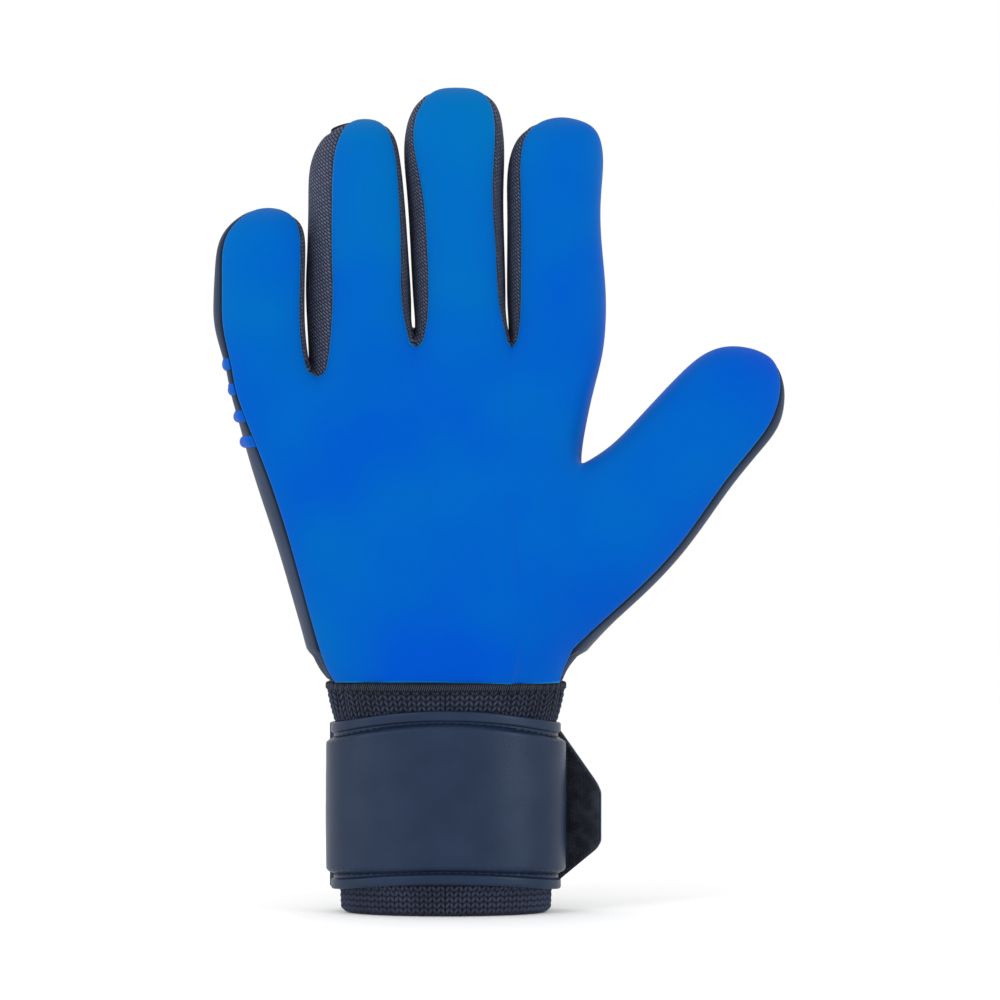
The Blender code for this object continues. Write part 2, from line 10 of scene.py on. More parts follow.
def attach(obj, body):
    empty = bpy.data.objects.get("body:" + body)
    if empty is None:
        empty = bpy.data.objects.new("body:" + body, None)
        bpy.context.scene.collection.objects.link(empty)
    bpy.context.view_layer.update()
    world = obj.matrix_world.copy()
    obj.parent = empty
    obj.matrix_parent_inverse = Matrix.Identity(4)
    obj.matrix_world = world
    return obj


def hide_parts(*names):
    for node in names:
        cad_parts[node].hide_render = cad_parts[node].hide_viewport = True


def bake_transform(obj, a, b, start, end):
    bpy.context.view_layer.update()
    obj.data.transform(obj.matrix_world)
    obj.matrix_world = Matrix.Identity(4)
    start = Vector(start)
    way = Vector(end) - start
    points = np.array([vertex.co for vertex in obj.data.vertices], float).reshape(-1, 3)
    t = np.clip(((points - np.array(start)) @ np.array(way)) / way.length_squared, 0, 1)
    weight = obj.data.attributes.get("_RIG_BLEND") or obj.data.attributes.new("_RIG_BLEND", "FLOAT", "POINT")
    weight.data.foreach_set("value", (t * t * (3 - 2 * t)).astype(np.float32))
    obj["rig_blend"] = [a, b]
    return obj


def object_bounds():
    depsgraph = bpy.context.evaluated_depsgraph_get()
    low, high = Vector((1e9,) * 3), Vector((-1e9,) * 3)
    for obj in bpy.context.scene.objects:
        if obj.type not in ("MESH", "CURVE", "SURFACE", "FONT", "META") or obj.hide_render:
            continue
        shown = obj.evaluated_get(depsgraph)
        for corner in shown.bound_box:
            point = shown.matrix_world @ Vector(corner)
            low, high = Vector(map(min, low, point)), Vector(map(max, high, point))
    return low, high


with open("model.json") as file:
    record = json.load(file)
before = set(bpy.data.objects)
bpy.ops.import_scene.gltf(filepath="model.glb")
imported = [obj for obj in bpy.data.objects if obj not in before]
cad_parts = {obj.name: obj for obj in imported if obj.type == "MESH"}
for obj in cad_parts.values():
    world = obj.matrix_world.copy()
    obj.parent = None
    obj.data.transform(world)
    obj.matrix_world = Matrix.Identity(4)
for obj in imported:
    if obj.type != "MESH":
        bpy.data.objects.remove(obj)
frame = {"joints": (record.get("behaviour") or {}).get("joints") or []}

cad_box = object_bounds()
MM = 0.001

# ---------------------------------------------------------------------------------------------------------
# The hand form. A glove is cut and sewn over a form of the hand, so every panel below is a piece of this
# one surface. It is blocked out of a grid: two columns for each finger and one for each web, five rows up
# the palm, then a ring at a time up each finger and out along the thumb.

# Palm rows from the wrist up: height at the little finger's side and at the thumb's, then x of the left side,
# of the latex edge left, of the latex edge right and of the right side.
palm_rows = (
    (76.9, 76.5, -38.6, -35.8, 37.2, 38.2),
    (88.0, 88.0, -45.2, -41.2, 41.8, 46.0),
    (118.0, 118.0, -54.2, -49.8, 45.0, 45.0),
    (146.0, 150.0, -63.3, -58.8, 41.3, 44.0),
    (169.0, 170.0, -69.6, -67.8, 43.9, 47.2),
)
# Depth of the palm side and of the back at five stations across each row, from the little finger's side.
stations = (0.0, 2.5, 5.5, 8.5, 11.0)
palm_front = (
    (12.0, 20.5, 23.0, 20.5, 12.0),
    (12.0, 20.0, 22.5, 23.0, 13.5),
    (11.0, 17.5, 19.0, 23.0, 22.0),
    (10.5, 15.5, 16.0, 18.0, 12.5),
    (9.5, 14.0, 14.5, 15.5, 10.5),
)
palm_back = (
    (12.0, 20.5, 23.0, 20.5, 12.0),
    (11.0, 18.5, 21.0, 19.0, 12.0),
    (10.5, 16.5, 18.5, 18.0, 14.0),
    (10.0, 15.0, 16.5, 15.5, 10.0),
    (9.5, 13.5, 15.0, 14.0, 9.5),
)
# Fingers: heights of the webs, then x of the left side, latex edge left, latex edge right and right side at
# the root, then rings upwards with a height, those four, and the depth of the front and of the back. The tip
# is a height and x.
fingers = {
    "little": {
        "web": (181.0, 179.8),
        "root": (-72.2, -70.6, -46.2, -46.2),
        "rings": (
            (193.0, -75.8, -73.2, -48.6, -47.2, 12.6, 11.6),
            (203.0, -76.6, -73.8, -48.8, -47.5, 12.3, 11.4),
            (213.0, -76.0, -73.8, -48.6, -47.4, 12.0, 11.2),
            (223.0, -74.0, -72.8, -48.6, -47.4, 11.2, 10.6),
            (230.0, -68.2, -67.6, -50.8, -50.2, 7.8, 7.6),
        ),
        "tip": (233.2, -59.2),
    },
    "ring": {
        "web": (179.8, 189.2),
        "root": (-45.2, -39.4, -12.2, -11.4),
        "rings": (
            (203.0, -45.8, -37.2, -14.9, -12.0, 13.0, 12.2),
            (218.0, -45.6, -37.4, -15.2, -12.8, 12.8, 12.0),
            (236.0, -45.2, -37.4, -15.8, -14.0, 12.4, 11.6),
            (250.0, -44.2, -36.8, -17.0, -15.6, 11.6, 11.0),
            (259.4, -38.6, -33.8, -19.8, -18.6, 8.0, 7.8),
        ),
        "tip": (262.8, -27.2),
    },
    "middle": {
        "web": (189.2, 189.2),
        "root": (-10.2, -7.4, 20.2, 20.0),
        "rings": (
            (203.0, -10.4, -5.4, 17.2, 19.6, 13.2, 12.4),
            (220.0, -11.3, -5.8, 16.2, 19.2, 13.0, 12.2),
            (240.0, -12.6, -7.6, 15.2, 18.8, 12.6, 11.8),
            (258.0, -13.4, -10.4, 16.0, 18.9, 12.0, 11.2),
            (269.8, -8.2, -6.4, 13.6, 15.0, 8.2, 8.0),
        ),
        "tip": (273.2, 3.2),
    },
    "index": {
        "web": (189.2, 186.0),
        "root": (21.0, 23.8, 48.2, 51.0),
        "rings": (
            (202.0, 20.9, 25.2, 49.2, 52.2, 13.0, 12.2),
            (217.0, 20.8, 25.4, 48.6, 51.2, 12.8, 12.0),
            (234.0, 20.8, 25.3, 48.0, 50.3, 12.4, 11.6),
            (250.0, 21.4, 25.2, 48.6, 51.2, 11.8, 11.0),
            (259.6, 26.8, 28.6, 47.2, 48.2, 8.2, 8.0),
        ),
        "tip": (263.4, 38.6),
    },
}
finger_names = tuple(fingers)
web_rise = (4.0, 4.6, 3.4)
edge_depth = 0.72  # a latex edge's depth, as a share of the finger's
back_inset = 2.4  # from a side to the edge of the back's panel

# The thumb leaves at 45 degrees. Rings: along and across of the upper side, then of the lower side, then
# the depth of the front and of the back.
thumb_along = Vector((1, 0, 1)).normalized()
thumb_across = Vector((1, 0, -1)).normalized()
thumb_rings = (
    (139.5, -71.4, 122.5, -29.2, 21.0, 15.5),
    (150.0, -69.6, 146.0, -30.4, 17.5, 13.6),
    (167.0, -69.9, 166.0, -33.6, 14.6, 12.6),
    (183.0, -70.2, 183.0, -35.4, 13.2, 11.8),
    (196.6, -67.2, 196.6, -39.2, 10.4, 9.6),
)
thumb_tip = (205.8, -53.4)
thumb_edges = (3.0, 2.5)

columns = 3 * len(fingers) - 1
rows = len(palm_rows)
thumb_rows = (1, 3)
LATEX, BACK, GUSSET, SIDE = range(4)
HAND, THUMB = 0, 5
names = ("hand", *finger_names, "thumb")


def raise_faces(bm, faces, step):
    """Extrudes the faces one lattice step and returns those at the new end."""
    edges = list({edge for face in faces for edge in face.edges})
    made = bmesh.ops.extrude_face_region(bm, geom=faces + edges)["geom"]
    moved = [item for item in made if isinstance(item, bmesh.types.BMVert)]
    bmesh.ops.translate(bm, vec=step, verts=moved)
    return [item for item in made if isinstance(item, bmesh.types.BMFace)]


def faces_between(bm, low, high):
    """The faces whose middles lie in this box of the lattice."""
    found = []
    for face in bm.faces:
        middle = face.calc_center_median()
        if all(a <= c <= b for a, c, b in zip(low, middle, high)):
            found.append(face)
    return found


def split_tip(bm, corner, middle):
    """Splits a front quarter of a digit's end from its corner to the end's middle: a seam runs there."""
    low = [min(pair) for pair in zip(corner, middle)]
    high = [max(pair) for pair in zip(corner, middle)]
    face = faces_between(bm, low, high)[0]
    ends = [min(face.verts, key=lambda vert: (vert.co - end).length) for end in (corner, middle)]
    bmesh.utils.face_split(face, *ends)


def block_out():
    """The glove as a block on a whole-number lattice: columns across, -1 to 1 in depth, rows up."""
    bm = bmesh.new()
    bmesh.ops.create_grid(bm, x_segments=columns, y_segments=2, size=1)
    for vert in bm.verts:
        vert.co.x = (vert.co.x + 1) / 2 * columns
    top = bm.faces[:]
    for _ in range(rows):
        top = raise_faces(bm, top, Vector((0, 0, 1)))
    for finger in range(len(fingers)):
        column = 3 * finger
        top = faces_between(bm, (column, -1, rows), (column + 2, 1, rows))
        for _ in fingers[finger_names[finger]]["rings"]:
            top = raise_faces(bm, top, Vector((0, 0, 1)))
    for finger, name in enumerate(finger_names):
        middle = Vector((3 * finger + 1, 0, rows + len(fingers[name]["rings"])))
        split_tip(bm, middle + Vector((-1, -1, 0)), middle)
        if finger < len(fingers) - 1:
            split_tip(bm, middle + Vector((1, -1, 0)), middle)
    end = faces_between(bm, (columns, -1, thumb_rows[0]), (columns, 1, thumb_rows[1]))
    for _ in thumb_rings:
        end = raise_faces(bm, end, Vector((1, 0, 0)))
    middle = Vector((columns + len(thumb_rings), 0, 2))
    split_tip(bm, middle + Vector((0, -1, -1)), middle)
    wrist = faces_between(bm, (0, -1, 0), (columns, 1, 0))
    bmesh.ops.delete(bm, geom=wrist, context="FACES")
    bmesh.ops.recalc_face_normals(bm, faces=bm.faces)
    return bm


def panel_of(middle, normal):
    """(digit, panel, web) of a lattice face: webs count 1 to 3 from the little finger."""
    front = middle.y < 0
    side = LATEX if front else BACK
    if middle.x > columns:
        under_tip = normal.x > 0.5 and middle.z - 1 < middle.y + 1
        return THUMB, BACK if normal.z < -0.5 or under_tip else side, 0
    if middle.z > rows:
        finger = int(middle.x // 3)
        across = middle.x % 3 - 1
        on_tip = normal.z > 0.5 and front and abs(across) > 0.5
        if abs(normal.x) < 0.5 and not on_tip:
            return finger + 1, side, 0
        if across < 0:
            return (finger + 1, GUSSET, finger) if finger else (1, BACK, 0)
        last = finger == len(fingers) - 1
        return (finger + 1, side, 0) if last else (finger + 1, GUSSET, finger + 1)
    if normal.z > 0.5:
        return HAND, GUSSET, int(middle.x // 3) + 1
    if normal.x < -0.5:
        return HAND, SIDE, 0
    if normal.x > 0.5 and middle.z < thumb_rows[0]:
        return HAND, BACK, 0
    return HAND, side, 0


def ring_point(ring, across, depth):
    """A point of a finger's ring: across is 0, 1 or 2 from the left, depth is -1 front, 0 or 1 back."""
    height, left, edge_left, edge_right, right, front, back = ring
    if depth == 0:
        return Vector(((left, (edge_left + edge_right) / 2, right)[across], 0, height))
    share = 1 if across == 1 else edge_depth
    if depth < 0:
        x = (edge_left, (edge_left + edge_right) / 2, edge_right)[across]
        return Vector((x, -front * share, height))
    x = (left + back_inset, (left + right) / 2, right - back_inset)[across]
    return Vector((x, back * share, height))


def web_row_point(column, depth):
    """A point of the row at the webs, where the fingers start."""
    finger = fingers[finger_names[column // 3]]
    low, high = finger["web"]
    height = low + (high - low) * (column % 3) / 2
    point = ring_point((height, *finger["root"], *finger["rings"][0][-2:]), column % 3, depth)
    if depth >= 0 and column not in (0, columns):
        web = (column + 1) // 3 - 1
        point.z += web_rise[min(max(web, 0), 2)]
    return point


def station_depth(column, depths):
    """The depth at a column, on one smooth curve through the depths at the five stations."""
    return np.polyval(np.polyfit(stations, depths, len(stations) - 1), column)


def palm_point(column, depth, row):
    low_side, thumb_side, left, edge_left, edge_right, right = palm_rows[row]
    first, last = web_row_point(0, -1).x, web_row_point(columns, -1).x
    share = (web_row_point(column, -1).x - first) / (last - first)
    height = low_side + share * (thumb_side - low_side)
    if depth == 0:
        return Vector((left if column == 0 else right, 0, height))
    if depth < 0:
        x = edge_left + share * (edge_right - edge_left)
        return Vector((x, -station_depth(column, palm_front[row]), height))
    x = left + back_inset + share * (right - left - 2 * back_inset)
    return Vector((x, station_depth(column, palm_back[row]), height))


def thumb_point(ring, depth, row):
    """A point of a thumb ring: row 1 is its lower side, 2 its middle and 3 its upper side."""
    up_along, up_across, low_along, low_across, front, back = ring
    upper = up_along * thumb_along + up_across * thumb_across
    lower = low_along * thumb_along + low_across * thumb_across
    span = (lower - upper).normalized()
    if depth == 0:
        return {1: lower, 3: upper}[row].copy()
    upper_edge = upper + thumb_edges[0] * span
    lower_edge = lower - thumb_edges[1] * span
    point = {1: lower_edge, 2: (upper_edge + lower_edge) / 2, 3: upper_edge}[row].copy()
    share = 1 if row == 2 else edge_depth
    point.y = -front * share if depth < 0 else back * share
    return point


def form_point(column, depth, row):
    """Where a lattice point of the block belongs, in millimetres."""
    if column > columns:
        if depth == 0 and row == 2:
            return thumb_tip[0] * thumb_along + thumb_tip[1] * thumb_across
        return thumb_point(thumb_rings[column - columns - 1], depth, row)
    if row < rows:
        return palm_point(column, depth, row)
    if row == rows:
        return web_row_point(column, depth)
    finger = fingers[finger_names[column // 3]]
    if depth == 0 and column % 3 == 1:
        return Vector((finger["tip"][1], 0, finger["tip"][0]))
    return ring_point(finger["rings"][row - rows - 1], column % 3, depth)


joints = {joint["name"]: joint for joint in frame["joints"]}


def joint_point(digit, which):
    return Vector(joints[f"{names[digit]}_{which}_bend"]["pos_m"])


def digit_along(digit):
    return thumb_along if digit == THUMB else Vector((0, 0, 1))


# How far a digit's bend spreads before and past its axis, in the knuckle and in the middle.
spreads = {1: (7.5, 9.0), 2: (9.5, 13.0), 3: (10.0, 13.5), 4: (9.0, 13.0), 5: (11.0, 11.0)}


def bend_zone(digit, number):
    """The two ends of a digit's bend, in the row frame: number 0 is its knuckle and 1 its middle."""
    point = joint_point(digit, ("knuckle", "middle")[number])
    step = digit_along(digit) * spreads[digit][number] * MM
    return point - step, point + step


def middle_cut(digit):
    """Where a digit's lower piece meets its upper one: between the knuckle's bend and the middle's."""
    return (bend_zone(digit, 0)[1] + bend_zone(digit, 1)[0]) / 2


def smooth_form():
    """The form, subdivided, with each face marked with its digit, panel and web."""
    bm = block_out()
    layers = [bm.faces.layers.int.new(key) for key in ("digit", "panel", "web")]
    bm.normal_update()
    for face in bm.faces:
        for layer, value in zip(layers, panel_of(face.calc_center_median(), face.normal)):
            face[layer] = value
    targets = []
    for vert in bm.verts:
        column, depth, row = (round(c) for c in vert.co)
        targets.append(form_point(column, depth, row) * MM)
        vert.co = targets[-1]
    mesh = bpy.data.meshes.new("form_cage")
    bm.to_mesh(mesh)
    bm.free()
    cage = bpy.data.objects.new("form_cage", mesh)
    bpy.context.scene.collection.objects.link(cage)
    smooth = cage.modifiers.new("smooth", "SUBSURF")
    smooth.levels = smooth.render_levels = 1
    fit_passes = 12
    for _ in range(fit_passes):
        reached = cage.evaluated_get(bpy.context.evaluated_depsgraph_get()).data.vertices
        misses = [target - reached[i].co for i, target in enumerate(targets)]
        for vert, miss in zip(mesh.vertices, misses):
            vert.co += miss
        mesh.update()
    smooth.levels = smooth.render_levels = 4
    form = bmesh.new()
    form.from_mesh(cage.evaluated_get(bpy.context.evaluated_depsgraph_get()).to_mesh())
    bpy.data.objects.remove(cage)
    return form


def segment_form(form):
    """Cuts the form where its pieces meet and marks each face's segment: 0 hand, 1 lower and 2 upper."""
    digit_of = form.faces.layers.int["digit"]
    segment_of = form.faces.layers.int.new("segment")
    snap = 0.25 * MM
    for digit in range(1, THUMB + 1):
        along = digit_along(digit)
        for number, point in enumerate((bend_zone(digit, 0)[0], middle_cut(digit)), 1):
            faces = [face for face in form.faces if face[digit_of] == digit]
            edges = {edge for face in faces for edge in face.edges}
            verts = {vert for face in faces for vert in face.verts}
            bmesh.ops.bisect_plane(
                form, geom=[*faces, *edges, *verts], dist=snap, plane_co=point, plane_no=along,
                use_snap_center=True,
            )
            for face in form.faces:
                if face[digit_of] == digit and (face.calc_center_median() - point).dot(along) > 0:
                    face[segment_of] = number


def measure_seams(form):
    """Stores at each point how far it is from the nearest seam between two panels, and its outward way."""
    keys = [form.faces.layers.int[key] for key in ("panel", "web")]
    seam_verts = set()
    for edge in form.edges:
        sides = {tuple(face[key] for key in keys) for face in edge.link_faces}
        if len(sides) > 1 or edge.is_boundary:
            seam_verts.update(edge.verts)
    tree = kdtree.KDTree(len(seam_verts))
    for index, vert in enumerate(seam_verts):
        tree.insert(vert.co, index)
    tree.balance()
    form.normal_update()
    seam = form.verts.layers.float.new("seam")
    outward = form.verts.layers.float_vector.new("outward")
    for vert in form.verts:
        vert[seam] = 0.0 if vert in seam_verts else tree.find(vert.co)[2]
        vert[outward] = vert.normal


form = smooth_form()
segment_form(form)
measure_seams(form)


# ---------------------------------------------------------------------------------------------------------
# The palm, the fronts of the fingers and the thumb: one sheet of smooth foam latex, 3.4 mm thick, cut flat
# so that its pale foam edge shows beside each seam. It is sewn to the gussets and the backhand.

latex_outer = 1.2 * MM
latex_inner = -2.2 * MM
latex_lip = 0.9 * MM  # radius of its rounded edge
latex_lip_drop = 0.675 * MM  # how far the edge drops within that radius


def end_round(distance, radius):
    """The share of full height that a rounded end has reached, this far in from it."""
    inside = min(max(distance / radius, 0.0), 1.0)
    return math.sqrt(1 - (1 - inside) ** 2)


def add_piece(name, bm, material, sharp=50):
    """The bmesh as an object at the origin, shaded smooth but for edges sharper than this many degrees."""
    mesh = bpy.data.meshes.new(name)
    bm.to_mesh(mesh)
    bm.free()
    mesh.materials.append(material)
    mesh.shade_smooth()
    mesh.set_sharp_from_angle(angle=math.radians(sharp))
    piece = bpy.data.objects.new(name, mesh)
    bpy.context.scene.collection.objects.link(piece)
    return piece


def cut_piece(name, wanted, outer, inner, material, trims=()):
    """A sewn piece: the form's wanted faces, each point moved out by outer(distance from the seam, point).
    Each trim is a point, a way and whether what lies past the point that way is cut off."""
    bm = form.copy()
    layers = [bm.faces.layers.int[key] for key in ("digit", "panel", "web", "segment")]
    unwanted = [face for face in bm.faces if not wanted(*(face[layer] for layer in layers))]
    bmesh.ops.delete(bm, geom=unwanted, context="FACES")
    for point, way, clears in trims:
        whole = [*bm.faces, *bm.edges, *bm.verts]
        bmesh.ops.bisect_plane(
            bm, geom=whole, dist=0.05 * MM, plane_co=point, plane_no=way, use_snap_center=True,
            clear_outer=clears,
        )
    outward = bm.verts.layers.float_vector["outward"]
    seam = bm.verts.layers.float["seam"]
    made = bmesh.ops.extrude_face_region(bm, geom=bm.faces[:])["geom"]
    raised = {item for item in made if isinstance(item, bmesh.types.BMVert)}
    for vert in bm.verts:
        way = vert[outward].normalized()
        vert.co += way * (outer(vert[seam], vert.co) if vert in raised else inner)
    bmesh.ops.recalc_face_normals(bm, faces=bm.faces)
    return add_piece(name, bm, material)


def fasten(piece, digit, segment):
    """Rides a piece on the hand, or bends it across the joint that its segment crosses."""
    if digit == HAND or segment == 0:
        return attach(piece, "hand")
    digit_name = names[digit]
    bodies = ("hand", f"{digit_name}_base", f"{digit_name}_tip")
    start, end = bend_zone(digit, segment - 1)
    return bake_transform(piece, bodies[segment - 1], bodies[segment], start, end)


def cut_digit_pieces(ending, stands_for, kind, surface, inner, material):
    """The lower and the upper piece of one kind on every digit, each fastened across its bend."""
    for digit in range(1, THUMB + 1):
        for segment, part in ((1, "base"), (2, "tip")):
            piece = cut_piece(
                f"{names[digit]}_{part}_{ending}",
                lambda d, p, w, s: d == digit and p == kind and s == segment,
                surface, inner, material,
            )
            fasten(piece, digit, segment)
            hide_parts(f"{names[digit]}_{part}_{stands_for}")


def start_material(name, settings):
    """A material with these settings on its shader, and the function that adds its nodes."""
    material = bpy.data.materials.new(name)
    material.use_nodes = True
    tree = material.node_tree

    def add(kind, inputs=None, **options):
        """A node with its options set, and each input set to a value or joined to a socket."""
        node = tree.nodes.new("ShaderNode" + kind) if kind else tree.nodes["Principled BSDF"]
        for key, value in options.items():
            setattr(node, key, value)
        for key, value in (inputs or {}).items():
            if isinstance(value, bpy.types.NodeSocket):
                tree.links.new(value, node.inputs[key])
            else:
                node.inputs[key].default_value = value
        return node

    add(None, settings)
    return material, add


def add_ramp(add, factor, low, high, ends=(0, 1)):
    ramp = add("ValToRGB", {"Fac": factor})
    for element, place, colour in zip(ramp.color_ramp.elements, ends, (low, high)):
        element.position = place
        element.color = (*colour, 1)
    return ramp.outputs["Color"]


def add_bump(add, height, strength, depth, invert=False):
    bump = add("Bump", {"Height": height, "Strength": strength, "Distance": depth}, invert=invert)
    add(None, {"Normal": bump.outputs["Normal"]})


def near_seam(add, start, end):
    """1 at a panel's seam, falling to 0 between these distances from it."""
    seam = add("Attribute", attribute_name="seam").outputs["Fac"]
    ends = {"Value": seam, "From Min": start, "From Max": end, "To Min": 1, "To Max": 0}
    return add("MapRange", ends).outputs["Result"]


def mix(add, factor, first, second, blend="MIX"):
    inputs = {"Factor": factor, "A": first, "B": second}
    return add("Mix", inputs, data_type="RGBA", blend_type=blend).outputs["Result"]


def latex_material():
    """Blue foam latex: deeper and greener patches, a painted highlight that turns it lighter and more cyan
    towards the fingertips, pale at its cut edges.
    """
    material, add = start_material("foam_latex", {
        "Roughness": 0.6, "Specular IOR Level": 0.12, "Specular Tint": (0.05, 0.45, 1, 1),
    })
    place = add("TexCoord").outputs["Object"]
    patches = add("TexNoise", {"Vector": place, "Scale": 17, "Detail": 2}).outputs["Fac"]
    height = add("SeparateXYZ", {"Vector": place}).outputs["Z"]
    # painted highlight: the colour turns lighter and more cyan up the fingers towards their tips, as if they
    # caught more light
    painted_tip_light = add("MapRange", {"Value": height, "From Min": 0.185, "From Max": 0.26, "To Max": 0.3})
    shade = add("Math", {0: patches, 1: painted_tip_light.outputs["Result"]}).outputs["Value"]
    blue = add_ramp(add, shade, (0.0, 0.062, 0.43), (0.0, 0.118, 0.355), (0.34, 0.86))
    blue = mix(add, near_seam(add, 0.35 * MM, 0.95 * MM), blue, (0.008, 0.17, 0.43, 1))
    add(None, {"Base Color": blue})
    grain = add("TexNoise", {"Vector": place, "Scale": 1500, "Detail": 2}).outputs["Fac"]
    add_bump(add, grain, 0.14, 0.0003)
    return material


hump = Vector((-34.5, -15.0, 178.0)) * MM  # the foam bunches up below the ring finger's web


def latex_surface(distance, point):
    """Rounded at its edges, softly uneven between them, and bunched up below the ring finger's web."""
    uneven = 0.22 * MM * noise.noise(point / (14 * MM)) * min(distance / (6 * MM), 1.0)
    bunch = 0.9 * MM * math.exp(-(((point - hump).length / (5 * MM)) ** 2))
    return latex_outer + uneven + bunch - latex_lip_drop * (1 - end_round(distance, latex_lip))


foam_latex = latex_material()
palm = cut_piece(
    "palm_foam", lambda d, p, w, s: p == LATEX and s == 0, latex_surface, latex_inner, foam_latex
)
fasten(palm, HAND, 0)
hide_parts("palm_latex")
cut_digit_pieces("foam", "latex", LATEX, latex_surface, latex_inner, foam_latex)

# ---------------------------------------------------------------------------------------------------------
# The gussets: strips of knitted mesh down the sides of the fingers and round the bottom of each web. They
# are sewn in between the latex and the backhand, a little lower than both.

gusset_inner = -1.4 * MM


def gusset_material(name, turn):
    """Knitted mesh of small slanting dashes, with painted shade near its seams. Turn swings the pattern to
    face one side of a finger.
    """
    material, add = start_material(name, {"Roughness": 0.75, "Specular IOR Level": 0.25})
    place = add("TexCoord").outputs["Object"]
    swing = add("Mapping", {"Vector": place, "Rotation": (0, 0, turn)}).outputs["Vector"]
    split = add("SeparateXYZ", {"Vector": swing}).outputs
    flat = add("CombineXYZ", {"X": split["X"], "Y": split["Z"]}).outputs["Vector"]
    slant = add("Mapping", {"Vector": flat, "Rotation": (0, 0, math.radians(35))}).outputs["Vector"]
    dash = add("TexBrick", {
        "Vector": slant, "Scale": 1, "Brick Width": 1.7 * MM, "Row Height": 0.95 * MM,
        "Mortar Size": 0.19 * MM, "Mortar Smooth": 0.45, "Color1": (0.085, 0.1, 0.16, 1),
        "Color2": (0.058, 0.07, 0.118, 1), "Mortar": (0.005, 0.006, 0.014, 1),
    })
    # painted shade: the mesh turns near black where it is pulled down into its seams
    colour = mix(add, near_seam(add, 0.3 * MM, 1.3 * MM), dash.outputs["Color"], (0.005, 0.006, 0.014, 1))
    add(None, {"Base Color": colour})
    add_bump(add, dash.outputs["Fac"], 0.8, 0.0005, invert=True)
    return material


def gusset_surface(distance, point):
    """Pulled down at its seams and a little proud between them."""
    return 0.25 * MM - 0.8 * MM * math.exp(-distance / (0.9 * MM))


mesh_facing_left = gusset_material("knitted_mesh_left", math.radians(45))
mesh_facing_right = gusset_material("knitted_mesh_right", math.radians(-45))
for web in range(1, len(fingers)):
    left, right = finger_names[web - 1], finger_names[web]
    piece = cut_piece(
        f"web_{left}_{right}",
        lambda d, p, w, s: p == GUSSET and w == web and s == 0,
        gusset_surface, gusset_inner, mesh_facing_left,
    )
    fasten(piece, HAND, 0)
    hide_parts(f"web_gusset_{left}_{right}")
    for digit, neighbour, material in ((web, right, mesh_facing_right), (web + 1, left, mesh_facing_left)):
        for segment, part in ((1, "base"), (2, "tip")):
            piece = cut_piece(
                f"{names[digit]}_{part}_mesh_by_{neighbour}",
                lambda d, p, w, s: d == digit and p == GUSSET and w == web and s == segment,
                gusset_surface, gusset_inner, material,
            )
            fasten(piece, digit, segment)
            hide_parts(f"{names[digit]}_{part}_gusset_by_{neighbour}")

# ---------------------------------------------------------------------------------------------------------
# The backhand and the backs of the fingers and thumb, with the side panel below the little finger. They
# are coated cloth over thin foam, smooth and slightly padded, and sewn to the latex and the gussets.

back_outer = 0.9 * MM
back_inner = -1.6 * MM
back_lip = 1.4 * MM  # radius of its rounded edge
back_lip_drop = 1.12 * MM  # how far the edge drops within that radius


def coated_material():
    """Smooth coated cloth, faintly uneven in colour, with painted shade where it sinks into a seam."""
    material, add = start_material("coated_cloth", {"Roughness": 0.5, "Specular IOR Level": 0.12})
    place = add("TexCoord").outputs["Object"]
    patches = add("TexNoise", {"Vector": place, "Scale": 60}).outputs["Fac"]
    colour = add_ramp(add, patches, (0.014, 0.026, 0.055), (0.022, 0.038, 0.078), (0.3, 0.7))
    # painted shade: the cloth turns near black where its edge sinks into a seam
    colour = mix(add, near_seam(add, 0.3 * MM, 1.2 * MM), colour, (0.005, 0.007, 0.014, 1))
    add(None, {"Base Color": colour})
    grain = add("TexVoronoi", {"Vector": place, "Scale": 1400}).outputs["Distance"]
    add_bump(add, grain, 0.25, 0.0002)
    return material


side_lip = 85.0 * MM  # the padding of both sides ends here, and gathers run from there to the wrist
side_lip_tall = 16.0 * MM  # above this height from the lip, the sides are plain
side_from = 38.0 * MM  # x past which the panel counts as a side
lip_rise = 0.5 * MM
gather_deep = 0.35 * MM
gather_pitch = 3.4 * MM
gather_sink = 1.0 * MM  # how far the gathered stretch is drawn in


def back_surface(distance, point):
    """Softly padded. Near the wrist the padding ends in a lip on both sides, above a gathered stretch."""
    out = back_outer - back_lip_drop * (1 - end_round(distance, back_lip))
    if point.z > side_lip + side_lip_tall or abs(point.x) < side_from:
        return out
    above = min(max((point.z - side_lip) / (2.5 * MM), 0.0), 1.0)
    lip = lip_rise * above * math.exp(-(((point.z - side_lip) / (7 * MM)) ** 2))
    gather = (1 - above) * (gather_deep * math.sin(math.tau * point.y / gather_pitch) - gather_sink)
    return out + lip + gather


coated_cloth = coated_material()
backhand = cut_piece(
    "backhand", lambda d, p, w, s: p == BACK and s == 0, back_surface, back_inner, coated_cloth
)
fasten(backhand, HAND, 0)
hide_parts("backhand_panel")
side = cut_piece("little_side", lambda d, p, w, s: p == SIDE, back_surface, back_inner, coated_cloth)
fasten(side, HAND, 0)
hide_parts("little_side_panel")
cut_digit_pieces("backing", "back", BACK, back_surface, back_inner, coated_cloth)

# ---------------------------------------------------------------------------------------------------------
# The knuckle ribs: four half-round bars of blue foam across the backhand, which wrap round the little
# finger's side. They are stuck to the backhand and taper at both ends.

rib_heights = (156.6, 165.0, 173.8, 182.2)
rib_width = 3.8
rib_end = 42.0  # x of the ribs' end on the thumb's side
rib_front = -9.6  # y where they stop at the palm's seam
rib_low = 0.9 * MM  # its underside
rib_rise = (0.5 * MM, 2.1 * MM)  # how far it stands up from there, at the glove's side and on its back
rib_turn = (-3, 6)  # y between which its rise grows from the one to the other


